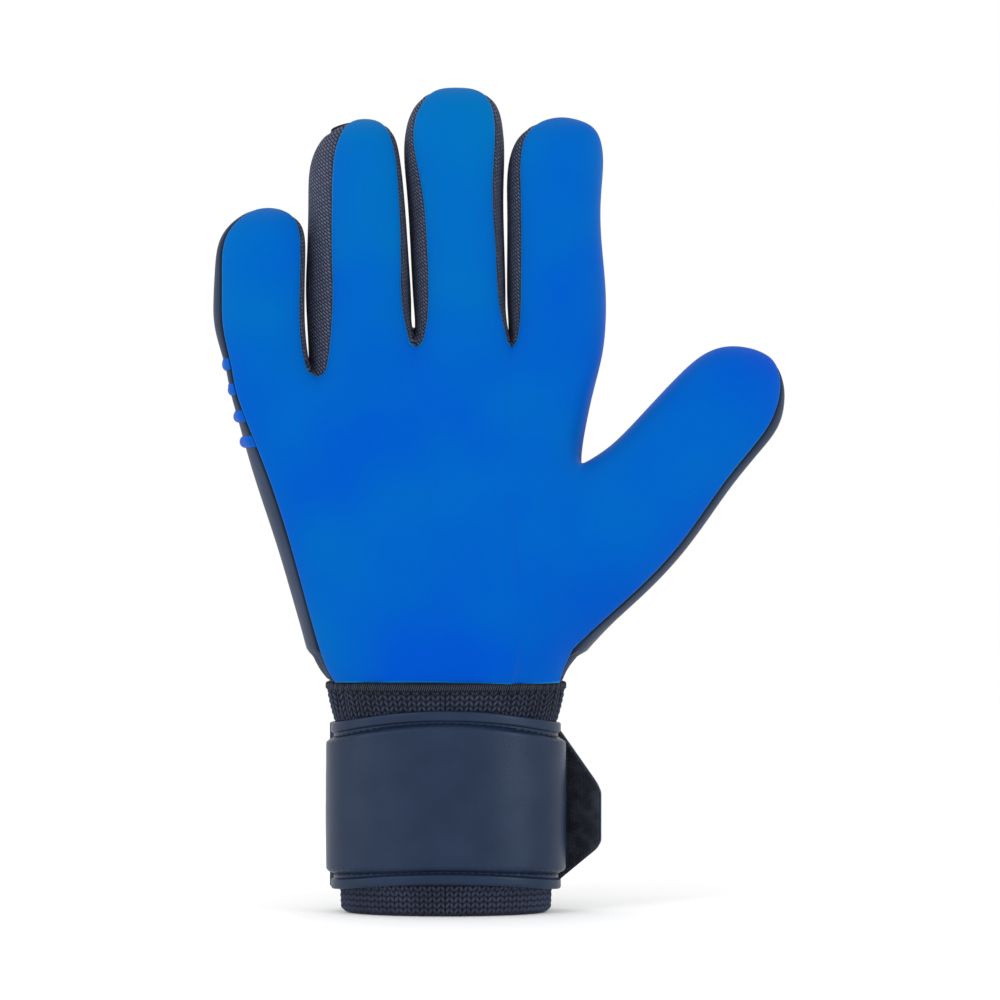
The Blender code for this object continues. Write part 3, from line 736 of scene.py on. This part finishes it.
for number, height in enumerate(rib_heights, 1):
    up = Vector((0, 0, 1))
    half = rib_width / 2
    trims = [
        (Vector((0, 0, height + half)) * MM, up, True),
        (Vector((0, 0, height - half)) * MM, -up, True),
        (Vector((rib_end, 0, 0)) * MM, Vector((1, 0, 0)), True),
    ]
    for share in (-0.95, -0.8, -0.6, -0.3, 0.0, 0.3, 0.6, 0.8, 0.95):
        trims.append((Vector((0, 0, height + share * half)) * MM, up, False))

    def rib_surface(distance, point):
        across = end_round(half - abs(point.z / MM - height), half)
        ends = end_round(rib_end - point.x / MM, half) * end_round(point.y / MM - rib_front, half)
        rise = np.interp(point.y / MM, rib_turn, rib_rise)
        return rib_low + rise * min(across, ends)

    rib = cut_piece(
        f"rib_{number}", lambda d, p, w, s: p in (BACK, SIDE) and d != THUMB,
        rib_surface, rib_low - 0.15 * MM, foam_latex, trims,
    )
    for value in rib.data.attributes["seam"].data:
        value.value = 1.0  # a rib crosses the seams under it, and has no cut edge of its own there
    fasten(rib, HAND, 0)
    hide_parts(f"knuckle_rib_{number}")

# ---------------------------------------------------------------------------------------------------------
# The lining: a thin sleeve of brushed cloth inside the palm and the backhand, up to where the fingers
# start. It is glued to the inside of both.

lining_wall = (-3.3 * MM, -2.5 * MM)
lining_top = 160.0 * MM


def lining_material():
    material, add = start_material("brushed_lining", {"Roughness": 0.95, "Sheen Weight": 0.3})
    place = add("TexCoord").outputs["Object"]
    loops = add("TexVoronoi", {"Vector": place, "Scale": 900}).outputs["Distance"]
    add(None, {"Base Color": add_ramp(add, loops, (0.4, 0.41, 0.43), (0.24, 0.25, 0.27))})
    add_bump(add, loops, 0.5, 0.0004, invert=True)
    return material


lining = cut_piece(
    "lining", lambda d, p, w, s: d == HAND, lambda distance, point: lining_wall[1], lining_wall[0],
    lining_material(), [(Vector((0, 0, lining_top)), Vector((0, 0, 1)), True)],
)
fasten(lining, HAND, 0)
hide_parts("hand_lining")

# ---------------------------------------------------------------------------------------------------------
# The bandage: a tube of ribbed elastic knit round the wrist, flared above the strap to meet the palm and
# rolled in at the rim. Its knit is columns of small V-shaped stitches, and it stretches as the wrist bends.

cuff_across = 36.6 * MM  # half the bandage's width and depth, outside, where the strap holds it
cuff_depth = 22.5 * MM
bandage_wall = 1.6 * MM
strap_bottom = 7.6 * MM
strap_top = 63.0 * MM
strap_bow = 4.8 * MM  # the strap's edges arch up across the palm side
turn_steps = np.linspace(-math.pi, math.pi, 721)
turn_points = np.stack([cuff_across * np.cos(turn_steps), cuff_depth * np.sin(turn_steps)])
turn_lengths = np.concatenate([[0], np.cumsum(np.hypot(*np.diff(turn_points)))])
girth = turn_lengths[-1]
knit_columns = 62
knit_wide = girth / knit_columns
knit_tall = 1.9 * MM
knit_relief = 0.5 * MM


def wrist_point(angle, out, height):
    """A point round the wrist, out from the bandage: angle 0 is the thumb's side and 90 degrees the back."""
    return Vector(((cuff_across + out) * math.cos(angle), (cuff_depth + out) * math.sin(angle), height))


def run_at(angle):
    """The way round the bandage to this angle, as a length."""
    turns = math.floor((angle + math.pi) / math.tau)
    return turns * girth + np.interp(angle - turns * math.tau, turn_steps, turn_lengths)


def angle_at(run):
    turns = math.floor(run / girth)
    return turns * math.tau + np.interp(run - turns * girth, turn_lengths, turn_steps)


def bow(angle, share=1.0):
    """How far the strap arches up: most in the middle of the palm side, and less at its lower edge."""
    return strap_bow * (0.62 + 0.38 * share) * max(0.0, -math.sin(angle)) ** 2


def knit(run, height):
    """How far a stitch stands up here, 0 to 1: each column is a stack of V shapes."""
    across = (run / knit_wide) % 1
    lean = abs(across - 0.5) * 2
    leg = math.sin(math.pi * ((height / knit_tall - 0.75 * lean) % 1))
    side = math.sin(math.pi * ((2 * across) % 1))
    return leg ** 0.7 * side ** 0.5


def extruded_rings(ring_size, count):
    """A tube of this many rings of points, still open, with its rings and the edges of both ends."""
    bm = bmesh.new()
    ring = bmesh.ops.create_circle(bm, segments=ring_size, radius=1)["verts"]
    first = edges = bm.edges[:]
    rings = [ring]
    for _ in range(count - 1):
        made = bmesh.ops.extrude_edge_only(bm, edges=edges)["geom"]
        ring = [item for item in made if isinstance(item, bmesh.types.BMVert)]
        new = set(ring)
        edges = [e for e in made if isinstance(e, bmesh.types.BMEdge) and new.issuperset(e.verts)]
        rings.append(ring)
    return bm, rings, first, edges


def wrist_tube(segments, outline_size, place):
    """A closed tube: place gives the point for a number along its wall's outline and an angle."""
    bm, rows, first, last = extruded_rings(segments, outline_size)
    bmesh.ops.bridge_loops(bm, edges=[*first, *last])
    for number, row in enumerate(rows):
        for vert in row:
            vert.co = place(number, math.atan2(vert.co.y, vert.co.x))
    bmesh.ops.recalc_face_normals(bm, faces=bm.faces)
    return bm


# The bandage's outer face: heights, how far out it lies there, and how far out its inner face does.
bandage_heights = (0.0, 0.4, 1.0, 2.0, 7.6, 9.2, 62.6, 64.0, 67.0, 72.6, 75.4)
bandage_outs = (-4.2, -3.1, -2.4, -2.0, -1.8, -0.4, -0.3, 0.2, 1.0, 2.1, 2.3)
fine_step = 0.4
bandage_rows = np.concatenate(
    [np.arange(0, 11.2, fine_step), np.arange(13, 59, 4), np.arange(60, 75.3, fine_step)]
)
inner_rows = np.arange(75, -0.1, -5)
fold_angle = math.radians(-160)  # a crease above the strap on the little finger's side
fold_depth = 0.9 * MM
gathers = 34  # soft folds where the bandage is drawn in to the hem
flare_from, flare_over = 63, 8  # height where it starts to widen, and over how much


def bandage_point(number, angle):
    if number >= len(bandage_rows):
        height = max(inner_rows[number - len(bandage_rows)], 0.3)
        out = np.interp(height, bandage_heights, bandage_outs) - bandage_wall / MM
        return wrist_point(angle, out * MM, height * MM)
    height = bandage_rows[number]
    above = height - bow(angle) / MM if height > 30 else height
    out = np.interp(above, bandage_heights, bandage_outs) * MM
    flare = min(max((above - flare_from) / flare_over, 0.0), 1.0)
    run = run_at(angle)
    fold = math.exp(-(((run - run_at(fold_angle)) / (0.9 * MM)) ** 2))
    out += flare * (0.3 * MM * math.sin(gathers * angle) - fold_depth * fold)
    out += knit_relief * knit(run, height * MM)
    return wrist_point(angle, out, height * MM)


def knit_material():
    """Dark elastic yarn with a little fuzz, and painted shade, near black, in the gaps between its stitches.
    """
    material, add = start_material("elastic_knit", {
        "Roughness": 0.85, "Specular IOR Level": 0.15, "Sheen Weight": 0.1, "Sheen Tint": (0.5, 0.6, 0.9, 1),
    })
    place = add("TexCoord").outputs["Object"]
    stitch = add("Attribute", attribute_name="stitch").outputs["Fac"]
    # painted shade: the yarn darkens to near black where a stitch stands lowest, in the gaps between stitches
    yarn = add_ramp(add, stitch, (0.003, 0.004, 0.009), (0.034, 0.044, 0.078), (0.3, 0.85))
    patches = add("TexNoise", {"Vector": place, "Scale": 90}).outputs["Fac"]
    worn = add_ramp(add, patches, (0.7, 0.7, 0.7), (1.0, 1.0, 1.0), (0.35, 0.65))
    add(None, {"Base Color": mix(add, 1, yarn, worn, "MULTIPLY")})
    fuzz = add("TexNoise", {"Vector": place, "Scale": 4000}).outputs["Fac"]
    add_bump(add, fuzz, 0.35, 0.0002)
    return material


bm = wrist_tube(720, len(bandage_rows) + len(inner_rows), bandage_point)
elastic_knit = knit_material()
bandage = add_piece("bandage", bm, elastic_knit)
stitch = bandage.data.attributes.new("stitch", "FLOAT", "POINT")
for vert, value in zip(bandage.data.vertices, stitch.data):
    value.value = knit(run_at(math.atan2(vert.co.y / cuff_depth, vert.co.x / cuff_across)), vert.co.z)
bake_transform(bandage, "cuff", "hand", (0, 0, 0.058), (0, 0, 0.076))
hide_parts("bandage_sleeve", "bandage_stretch")

# ---------------------------------------------------------------------------------------------------------
# The hem: a narrow tape folded over the palm's lower edge and sewn down with close overlock stitches. The
# elastic under it draws it into small puckers.

hem_middle = 75.3 * MM
hem_half = 1.4 * MM  # half its height
hem_out = (1.9 * MM, 3.3 * MM)
pucker = 0.16 * MM
puckers = 62
outline_steps = 12


def hem_point(number, angle):
    """Round a flattened oval section, puckered along its length."""
    turn = math.tau * number / outline_steps
    out = (hem_out[0] + hem_out[1]) / 2 + (hem_out[1] - hem_out[0]) / 2 * math.cos(turn)
    out += pucker * math.sin(puckers * angle)
    return wrist_point(angle, out, hem_middle + hem_half * math.sin(turn))


def thread_material(name, colour):
    material, add = start_material(name, {"Roughness": 0.55, "Specular IOR Level": 0.25})
    place = add("TexCoord").outputs["Object"]
    twist = add("TexWave", {"Vector": place, "Scale": 900}, bands_direction="DIAGONAL").outputs["Fac"]
    dark = [0.6 * part for part in colour]
    add(None, {"Base Color": add_ramp(add, twist, dark, colour)})
    return material


def add_stitch(bm, middle, along, out, length, width):
    """One stitch: a rounded bar of thread lying along the cloth."""
    along, out = along.normalized(), out.normalized()
    side = out.cross(along).normalized()
    turn = Matrix((along * length / 2, side * width / 2, out * width / 2)).transposed().to_4x4()
    turn.translation = middle
    bmesh.ops.create_uvsphere(bm, u_segments=6, v_segments=5, radius=1, matrix=turn)


hem = add_piece("hem", wrist_tube(496, outline_steps, hem_point), elastic_knit)
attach(hem, "hand")
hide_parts("wrist_hem")
navy_thread = thread_material("navy_thread", (0.035, 0.046, 0.075))
bm = bmesh.new()
hem_stitches = 280
for number in range(hem_stitches):
    angle = angle_at(girth * number / hem_stitches)
    ahead = wrist_point(angle + 0.01, 0, 0) - wrist_point(angle, 0, 0)
    middle = hem_point(0, angle)
    out = Vector((math.cos(angle) / cuff_across, math.sin(angle) / cuff_depth, 0)).normalized()
    along = Vector((0, 0, 1)) + 0.35 * ahead.normalized()
    add_stitch(bm, middle - 0.1 * MM * out, along, out, 2.6 * MM, 0.42 * MM)
overlock = add_piece("hem_stitches", bm, navy_thread)
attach(overlock, "hand")

# ---------------------------------------------------------------------------------------------------------
# The strap: a foam pad under smooth coated cloth, bound along both edges and sewn down round the pad. It
# is fixed to the bandage over the palm side and round both sides of the wrist.

strap_start = math.radians(-190)
strap_end = math.radians(12)
strap_inside = 0.3 * MM
binding_tall = 3.5 * MM
binding_rise = 0.9 * MM
binding_corner = 0.7 * MM
margin_out = 0.8 * MM  # how far out the flat margin lies, between the binding and the pad
pad_margin = 4.2 * MM  # from the strap's edge to the foot of the pad, at the palm's middle
pad_rise = 2.3 * MM
pad_shoulder = 2.0 * MM
strap_stitch_pitch = 2.6 * MM
strap_tall = strap_top - strap_bottom


def margin_at(angle):
    """The pad's corners are rounded off towards the little finger's side."""
    return pad_margin + 1.0 * MM * abs(math.cos(angle)) ** 3


def strap_out(across, angle):
    """How far out the strap's face is, this far up from its lower edge."""
    edge = min(across, strap_tall - across)
    margin = margin_at(angle)
    if edge < binding_tall:
        return margin_out + binding_rise * end_round(min(edge, binding_tall - edge), binding_corner)
    if edge < margin:
        return margin_out
    inside = min((edge - margin) / pad_shoulder, 1.0)
    crown = 0.3 * MM * math.sin(math.pi * across / strap_tall)
    seat = strap_stitch_pitch
    dimple = 0.05 * MM * math.cos(math.tau * run_at(angle) / seat) * inside * (1 - inside) * 4
    soft = 0.12 * MM * noise.noise(wrist_point(angle, 0, across) / (9 * MM))
    return 0.9 * MM + pad_rise * (1 - (1 - inside) ** 2.4) + crown + dimple * (inside < 1) + soft


def swept_band(stops, outline, place):
    """A closed band: an outline carried from stop to stop and filled at both ends."""
    bm, rings, first, last = extruded_rings(len(outline), len(stops))
    for number, ring in enumerate(rings):
        for vert in ring:
            turn = math.atan2(vert.co.y, vert.co.x) / math.tau
            vert.co = place(number, round(turn * len(outline)) % len(outline))
    for end in (first, last):
        bmesh.ops.edgeloop_fill(bm, edges=end)
    bmesh.ops.recalc_face_normals(bm, faces=bm.faces)
    return bm


strap_turns = [angle_at(run) for run in np.linspace(run_at(strap_start), run_at(strap_end), 260)]
binding_rows = (0, 0.08, 0.25, 0.45, 0.7, 1.4, 2.1, 2.8, 3.05, 3.25, 3.42, 3.5)
near_edge = np.concatenate([binding_rows, np.linspace(3.75, 9.5, 18)]) * MM
strap_rows = np.concatenate([near_edge, np.linspace(10.5 * MM, strap_tall - 10.5 * MM, 24),
                             strap_tall - near_edge[::-1]])
strap_outline = [(across, True) for across in strap_rows]
strap_outline += [(across, False) for across in np.linspace(strap_tall, 0, 10)]


def strap_point(number, index):
    angle = strap_turns[number]
    across, outside = strap_outline[index]
    to_end = min(run_at(angle) - run_at(strap_start), run_at(strap_end) - run_at(angle))
    out = strap_inside
    if outside:
        out += (strap_out(across, angle) - strap_inside) * max(end_round(to_end, 2.2 * MM), 0.15)
    return wrist_point(angle, out, strap_bottom + across + bow(angle, across / strap_tall))


def coated_strap_material():
    """Smooth coated cloth with a fine leathery grain, a little lighter where it is rubbed."""
    material, add = start_material(
        "coated_strap", {"Specular IOR Level": 0.28, "Specular Tint": (0.75, 0.85, 1, 1)}
    )
    place = add("TexCoord").outputs["Object"]
    patches = add("TexNoise", {"Vector": place, "Scale": 70, "Detail": 4}).outputs["Fac"]
    colour = add_ramp(add, patches, (0.005, 0.014, 0.039), (0.009, 0.02, 0.049), (0.35, 0.7))
    rough = add("MapRange", {"Value": patches, "To Min": 0.33, "To Max": 0.42}).outputs["Result"]
    add(None, {"Base Color": colour, "Roughness": rough})
    grain = add("TexVoronoi", {"Vector": place, "Scale": 1150}, feature="DISTANCE_TO_EDGE")
    fine = add("TexNoise", {"Vector": place, "Scale": 2600}).outputs["Fac"]
    both = add("Math", {0: grain.outputs["Distance"], 1: fine}).outputs["Value"]
    add_bump(add, both, 0.32, 0.00016)
    return material


coated_strap = coated_strap_material()
strap = add_piece("strap_pad", swept_band(strap_turns, strap_outline, strap_point), coated_strap, 35)
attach(strap, "cuff")
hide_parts("strap_backing", "strap_foam", "strap_cover")

bm = bmesh.new()
stitches_inside = -0.3 * MM  # in the groove at the foot of the pad
for low in (True, False):
    run = run_at(strap_start) + 4 * MM
    while run < run_at(strap_end) - 3 * MM:
        angle = angle_at(run)
        across = margin_at(angle) + stitches_inside
        across = across if low else strap_tall - across
        around = wrist_point(angle + 0.01, 0, bow(angle + 0.01)) - wrist_point(angle, 0, bow(angle))
        arch = bow(angle, across / strap_tall)
        out = Vector((math.cos(angle) / cuff_across, math.sin(angle) / cuff_depth, 0)).normalized()
        middle = wrist_point(angle, strap_out(across, angle), strap_bottom + across + arch)
        add_stitch(bm, middle, around, out, 0.72 * strap_stitch_pitch, 0.5 * MM)
        run += strap_stitch_pitch
strap_thread = thread_material("strap_thread", (0.006, 0.009, 0.018))
strap_stitches = add_piece("strap_stitches", bm, strap_thread)
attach(strap_stitches, "cuff")

# ---------------------------------------------------------------------------------------------------------
# The loop patch: brushed pile sewn to the bandage over the back of the wrist, for the hooks to hold.

loop_turns = (math.radians(28), math.radians(163))
loop_pile = (0.3 * MM, 1.1 * MM)
tape_inset = 2.0 * MM  # from the strap's edges to those of the hook tape and the loop patch
loop_rows = np.linspace(strap_bottom + tape_inset, strap_top - tape_inset, 90)
loop_outline = [(height, True) for height in loop_rows]
loop_outline += [(height, False) for height in (loop_rows[-1], loop_rows[0])]
loop_angles = [angle_at(run) for run in np.linspace(run_at(loop_turns[0]), run_at(loop_turns[1]), 150)]


def loop_point(number, index):
    height, outside = loop_outline[index]
    point = wrist_point(loop_angles[number], loop_pile[0], height)
    if not outside:
        return point
    edge = min(height - loop_rows[0], loop_rows[-1] - height)
    rise = (loop_pile[1] - loop_pile[0]) * max(end_round(edge, 0.8 * MM), 0.3)
    rise += 0.22 * MM * noise.noise(point / (1.1 * MM))
    return wrist_point(loop_angles[number], loop_pile[0] + max(rise, 0.1 * MM), height)


def pile_material():
    material, add = start_material("loop_pile", {"Roughness": 0.95, "Sheen Weight": 0.5})
    place = add("TexCoord").outputs["Object"]
    tufts = add("TexNoise", {"Vector": place, "Scale": 1100, "Detail": 4}).outputs["Fac"]
    colour = add_ramp(add, tufts, (0.004, 0.005, 0.01), (0.02, 0.026, 0.046), (0.35, 0.7))
    add(None, {"Base Color": colour})
    add_bump(add, tufts, 0.9, 0.0005)
    return material


loop = add_piece("loop_pile", swept_band(loop_angles, loop_outline, loop_point), pile_material())
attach(loop, "cuff")
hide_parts("loop_patch")

# ---------------------------------------------------------------------------------------------------------
# The strap's flap: a flat stitched strip that wraps over the back of the wrist from the little finger's
# side and ends in a tapered tab past the thumb's side, with a strip of moulded hooks inside it.

flap_start = math.radians(168)
flap_lift_off = math.radians(50)  # from here the flap runs straight
flap_reach = 51.6 * MM  # x of the flap's end
flap_taper = 18.0 * MM  # length of the tapered end
flap_nose = 2.6 * MM  # radius of its corners
flap_end_heights = (21.5 * MM, 40.5 * MM)
flap_faces = (2.6 * MM, 3.9 * MM)
flap_edge = 2.2 * MM  # width of the bound edge
flap_tuck = 1.2 * MM  # how far its start dips behind the strap
flap_tuck_long = 10.0 * MM
hook_short = 22.0 * MM  # the hook tape starts this far along the flap
hook_faces = (1.95 * MM, 2.5 * MM)
hook_inset = 0.35 * MM  # from the flap's edge
hook_pitch = 1.3 * MM
hook_tall = 0.5 * MM
lift_point = wrist_point(flap_lift_off, flap_faces[0], 0)
lift_way = lift_point - wrist_point(flap_lift_off + 0.02, flap_faces[0], 0)
lift_way.normalize()
straight = (flap_reach - lift_point.x) / lift_way.x
curved = run_at(flap_start) - run_at(flap_lift_off)


def flap_place(along, out, height):
    """A point of the flap, this far along it from its start, and its way out."""
    if along < curved:
        angle = angle_at(run_at(flap_start) - along)
        way = Vector((math.cos(angle) / cuff_across, math.sin(angle) / cuff_depth, 0)).normalized()
        return wrist_point(angle, out, height), way
    way = Vector((-lift_way.y, lift_way.x, 0))
    point = lift_point + lift_way * (along - curved) + way * (out - flap_faces[0])
    return Vector((point.x, point.y, height)), way


def flap_heights(along, inset):
    """The lower and the upper edge at this length along the flap, drawn in to a rounded tab at its end."""
    to_end = flap_long - along
    narrow = max(0.0, 1 - to_end / flap_taper)
    nose = flap_nose * (1 - end_round(to_end - inset, flap_nose))
    low = strap_bottom + narrow * (flap_end_heights[0] - strap_bottom) + inset + nose
    high = strap_top + narrow * (flap_end_heights[1] - strap_top) - inset - nose
    return low, high


flap_long = curved + straight
flap_alongs = np.concatenate([np.linspace(0, flap_long - 5 * MM, 130),
                              flap_long - np.array([4.2, 3.4, 2.6, 1.9, 1.3, 0.8, 0.4, 0.15, 0]) * MM])
flap_shares = np.concatenate([np.linspace(0, 0.06, 9), np.linspace(0.09, 0.91, 26), np.linspace(0.94, 1, 9)])
flap_outline = [(share, True) for share in flap_shares]
flap_outline += [(share, False) for share in np.linspace(1, 0, 12)]


def flap_point(number, index):
    """Flat, with a rounded binding along both edges and round the tab."""
    along = flap_alongs[number]
    share, outside = flap_outline[index]
    low, high = flap_heights(along, 0)
    height = low + share * (high - low)
    edge = min(height - low, high - height, flap_long - along, along)
    out = flap_faces[0] - flap_tuck * (1 - end_round(along, flap_tuck_long))
    if outside:
        rise = flap_faces[1] - flap_faces[0]
        if edge < flap_edge:
            rise *= 0.35 + 0.95 * math.sqrt(max(0.0, 1 - (2 * edge / flap_edge - 1) ** 2))
        out += rise
    return flap_place(along, out, height)[0]


flap = add_piece("flap", swept_band(flap_alongs, flap_outline, flap_point), coated_strap, 35)
flap_hinge = (wrist_point(math.radians(171), 0, 0), wrist_point(math.radians(150), 0, 0))
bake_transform(flap, "cuff", "flap", *flap_hinge)
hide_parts("strap_flap")

bm = bmesh.new()
flap_stitch_inset = 3.0 * MM
for side in (0, 1):
    along = 4 * MM
    while along < flap_long - 4 * MM:
        height = flap_heights(along, flap_stitch_inset)[side]
        ahead = flap_heights(along + MM, flap_stitch_inset)[side]
        middle, way = flap_place(along, flap_faces[1], height)
        forward = flap_place(along + MM, flap_faces[1], ahead)[0] - middle
        add_stitch(bm, middle, forward, way, 0.72 * strap_stitch_pitch, 0.5 * MM)
        along += strap_stitch_pitch
flap_stitches = add_piece("flap_stitches", bm, strap_thread)
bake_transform(flap_stitches, "cuff", "flap", *flap_hinge)

hook_alongs = np.concatenate([np.linspace(hook_short, flap_long - 6 * MM, 90),
                              flap_long - hook_inset - np.array([3.2, 2.4, 1.6, 0.9, 0.4, 0]) * MM])
hook_outline = [(share, True) for share in np.linspace(0, 1, 12)]
hook_outline += [(share, False) for share in np.linspace(1, 0, 12)]


def hook_base_point(number, index):
    along = hook_alongs[number]
    share, outside = hook_outline[index]
    low, high = flap_heights(along, hook_inset)
    return flap_place(along, hook_faces[1] if outside else hook_faces[0], low + share * (high - low))[0]


def hook_material():
    """Black moulded plastic with a low gloss, paler with dust between the hooks."""
    material, add = start_material("hook_tape", {"Roughness": 0.5, "Specular IOR Level": 0.3})
    place = add("TexCoord").outputs["Object"]
    dust = add("TexNoise", {"Vector": place, "Scale": 260, "Detail": 5}).outputs["Fac"]
    colour = add_ramp(add, dust, (0.014, 0.016, 0.025), (0.04, 0.045, 0.066), (0.4, 0.8))
    add(None, {"Base Color": colour})
    return material


bm = swept_band(hook_alongs, hook_outline, hook_base_point)
along = hook_short + hook_pitch
while along < flap_long - hook_inset - 1 * MM:
    low, high = flap_heights(along, hook_inset + 0.8 * MM)
    count = max(int((high - low) / hook_pitch), 1)
    for number in range(count + 1):
        height = low + number * (high - low) / count
        foot, way = flap_place(along, hook_faces[0], height)
        turn = (-way).to_track_quat("Z", "Y").to_matrix().to_4x4()
        turn.translation = foot - way * hook_tall / 2
        bmesh.ops.create_cone(
            bm, cap_ends=True, segments=4, radius1=0.34 * MM, radius2=0.16 * MM, depth=hook_tall * 1.2,
            matrix=turn,
        )
    along += hook_pitch
hooks = add_piece("hooks", bm, hook_material())
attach(hooks, "flap")
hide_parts("hook_patch")

# ---------------------------------------------------------------------------------------------------------
# The plain pale floor, soft studio light all round and the camera, level with the middle of the glove.

floor_mesh = bpy.data.meshes.new("floor")
bm = bmesh.new()
bmesh.ops.create_grid(bm, x_segments=1, y_segments=1, size=3)
bmesh.ops.translate(bm, verts=bm.verts, vec=(0, 0, cad_box[0].z - 0.0002))
bm.to_mesh(floor_mesh)
bm.free()
floor = bpy.data.objects.new("floor", floor_mesh)
bpy.context.scene.collection.objects.link(floor)
pale = bpy.data.materials.new("pale_floor")
pale.use_nodes = True
pale.node_tree.nodes["Principled BSDF"].inputs["Base Color"].default_value = (1, 1, 1, 1)
pale.node_tree.nodes["Principled BSDF"].inputs["Roughness"].default_value = 0.9
floor_mesh.materials.append(pale)

world = bpy.data.worlds.new("studio")
bpy.context.scene.world = world
world.use_nodes = True
world.node_tree.nodes["Background"].inputs["Color"].default_value = (1, 1, 1, 1)
world.node_tree.nodes["Background"].inputs["Strength"].default_value = 1.0


def softbox(name, place, aim, size, power):
    light = bpy.data.lights.new(name, "AREA")
    light.shape = "RECTANGLE"
    light.size, light.size_y = size
    light.energy = power
    lamp = bpy.data.objects.new(name, light)
    lamp.location = place
    lamp.rotation_euler = (Vector(aim) - Vector(place)).to_track_quat("-Z", "Y").to_euler()
    bpy.context.scene.collection.objects.link(lamp)


aim = (0, 0, 0.14)
softbox("key", (-0.7, -0.9, 0.75), aim, (0.4, 0.8), 4)
softbox("strip_right", (0.93, -0.78, 0.3), aim, (0.07, 0.9), 4.5)
softbox("strip_left", (-1.15, -0.45, 0.3), aim, (0.1, 0.9), 2)

camera_data = bpy.data.cameras.new("camera")
camera = bpy.data.objects.new("camera", camera_data)
bpy.context.scene.collection.objects.link(camera)
bpy.context.scene.camera = camera
camera_away = 1.6
frame_width = 0.3333
camera_data.sensor_width = 36
camera_data.lens = camera_data.sensor_width * camera_away / frame_width
camera.location = (0.018, -camera_away, 0.137)
camera.rotation_euler = (math.radians(90), 0, 0)
bpy.context.scene.view_settings.view_transform = "Standard"
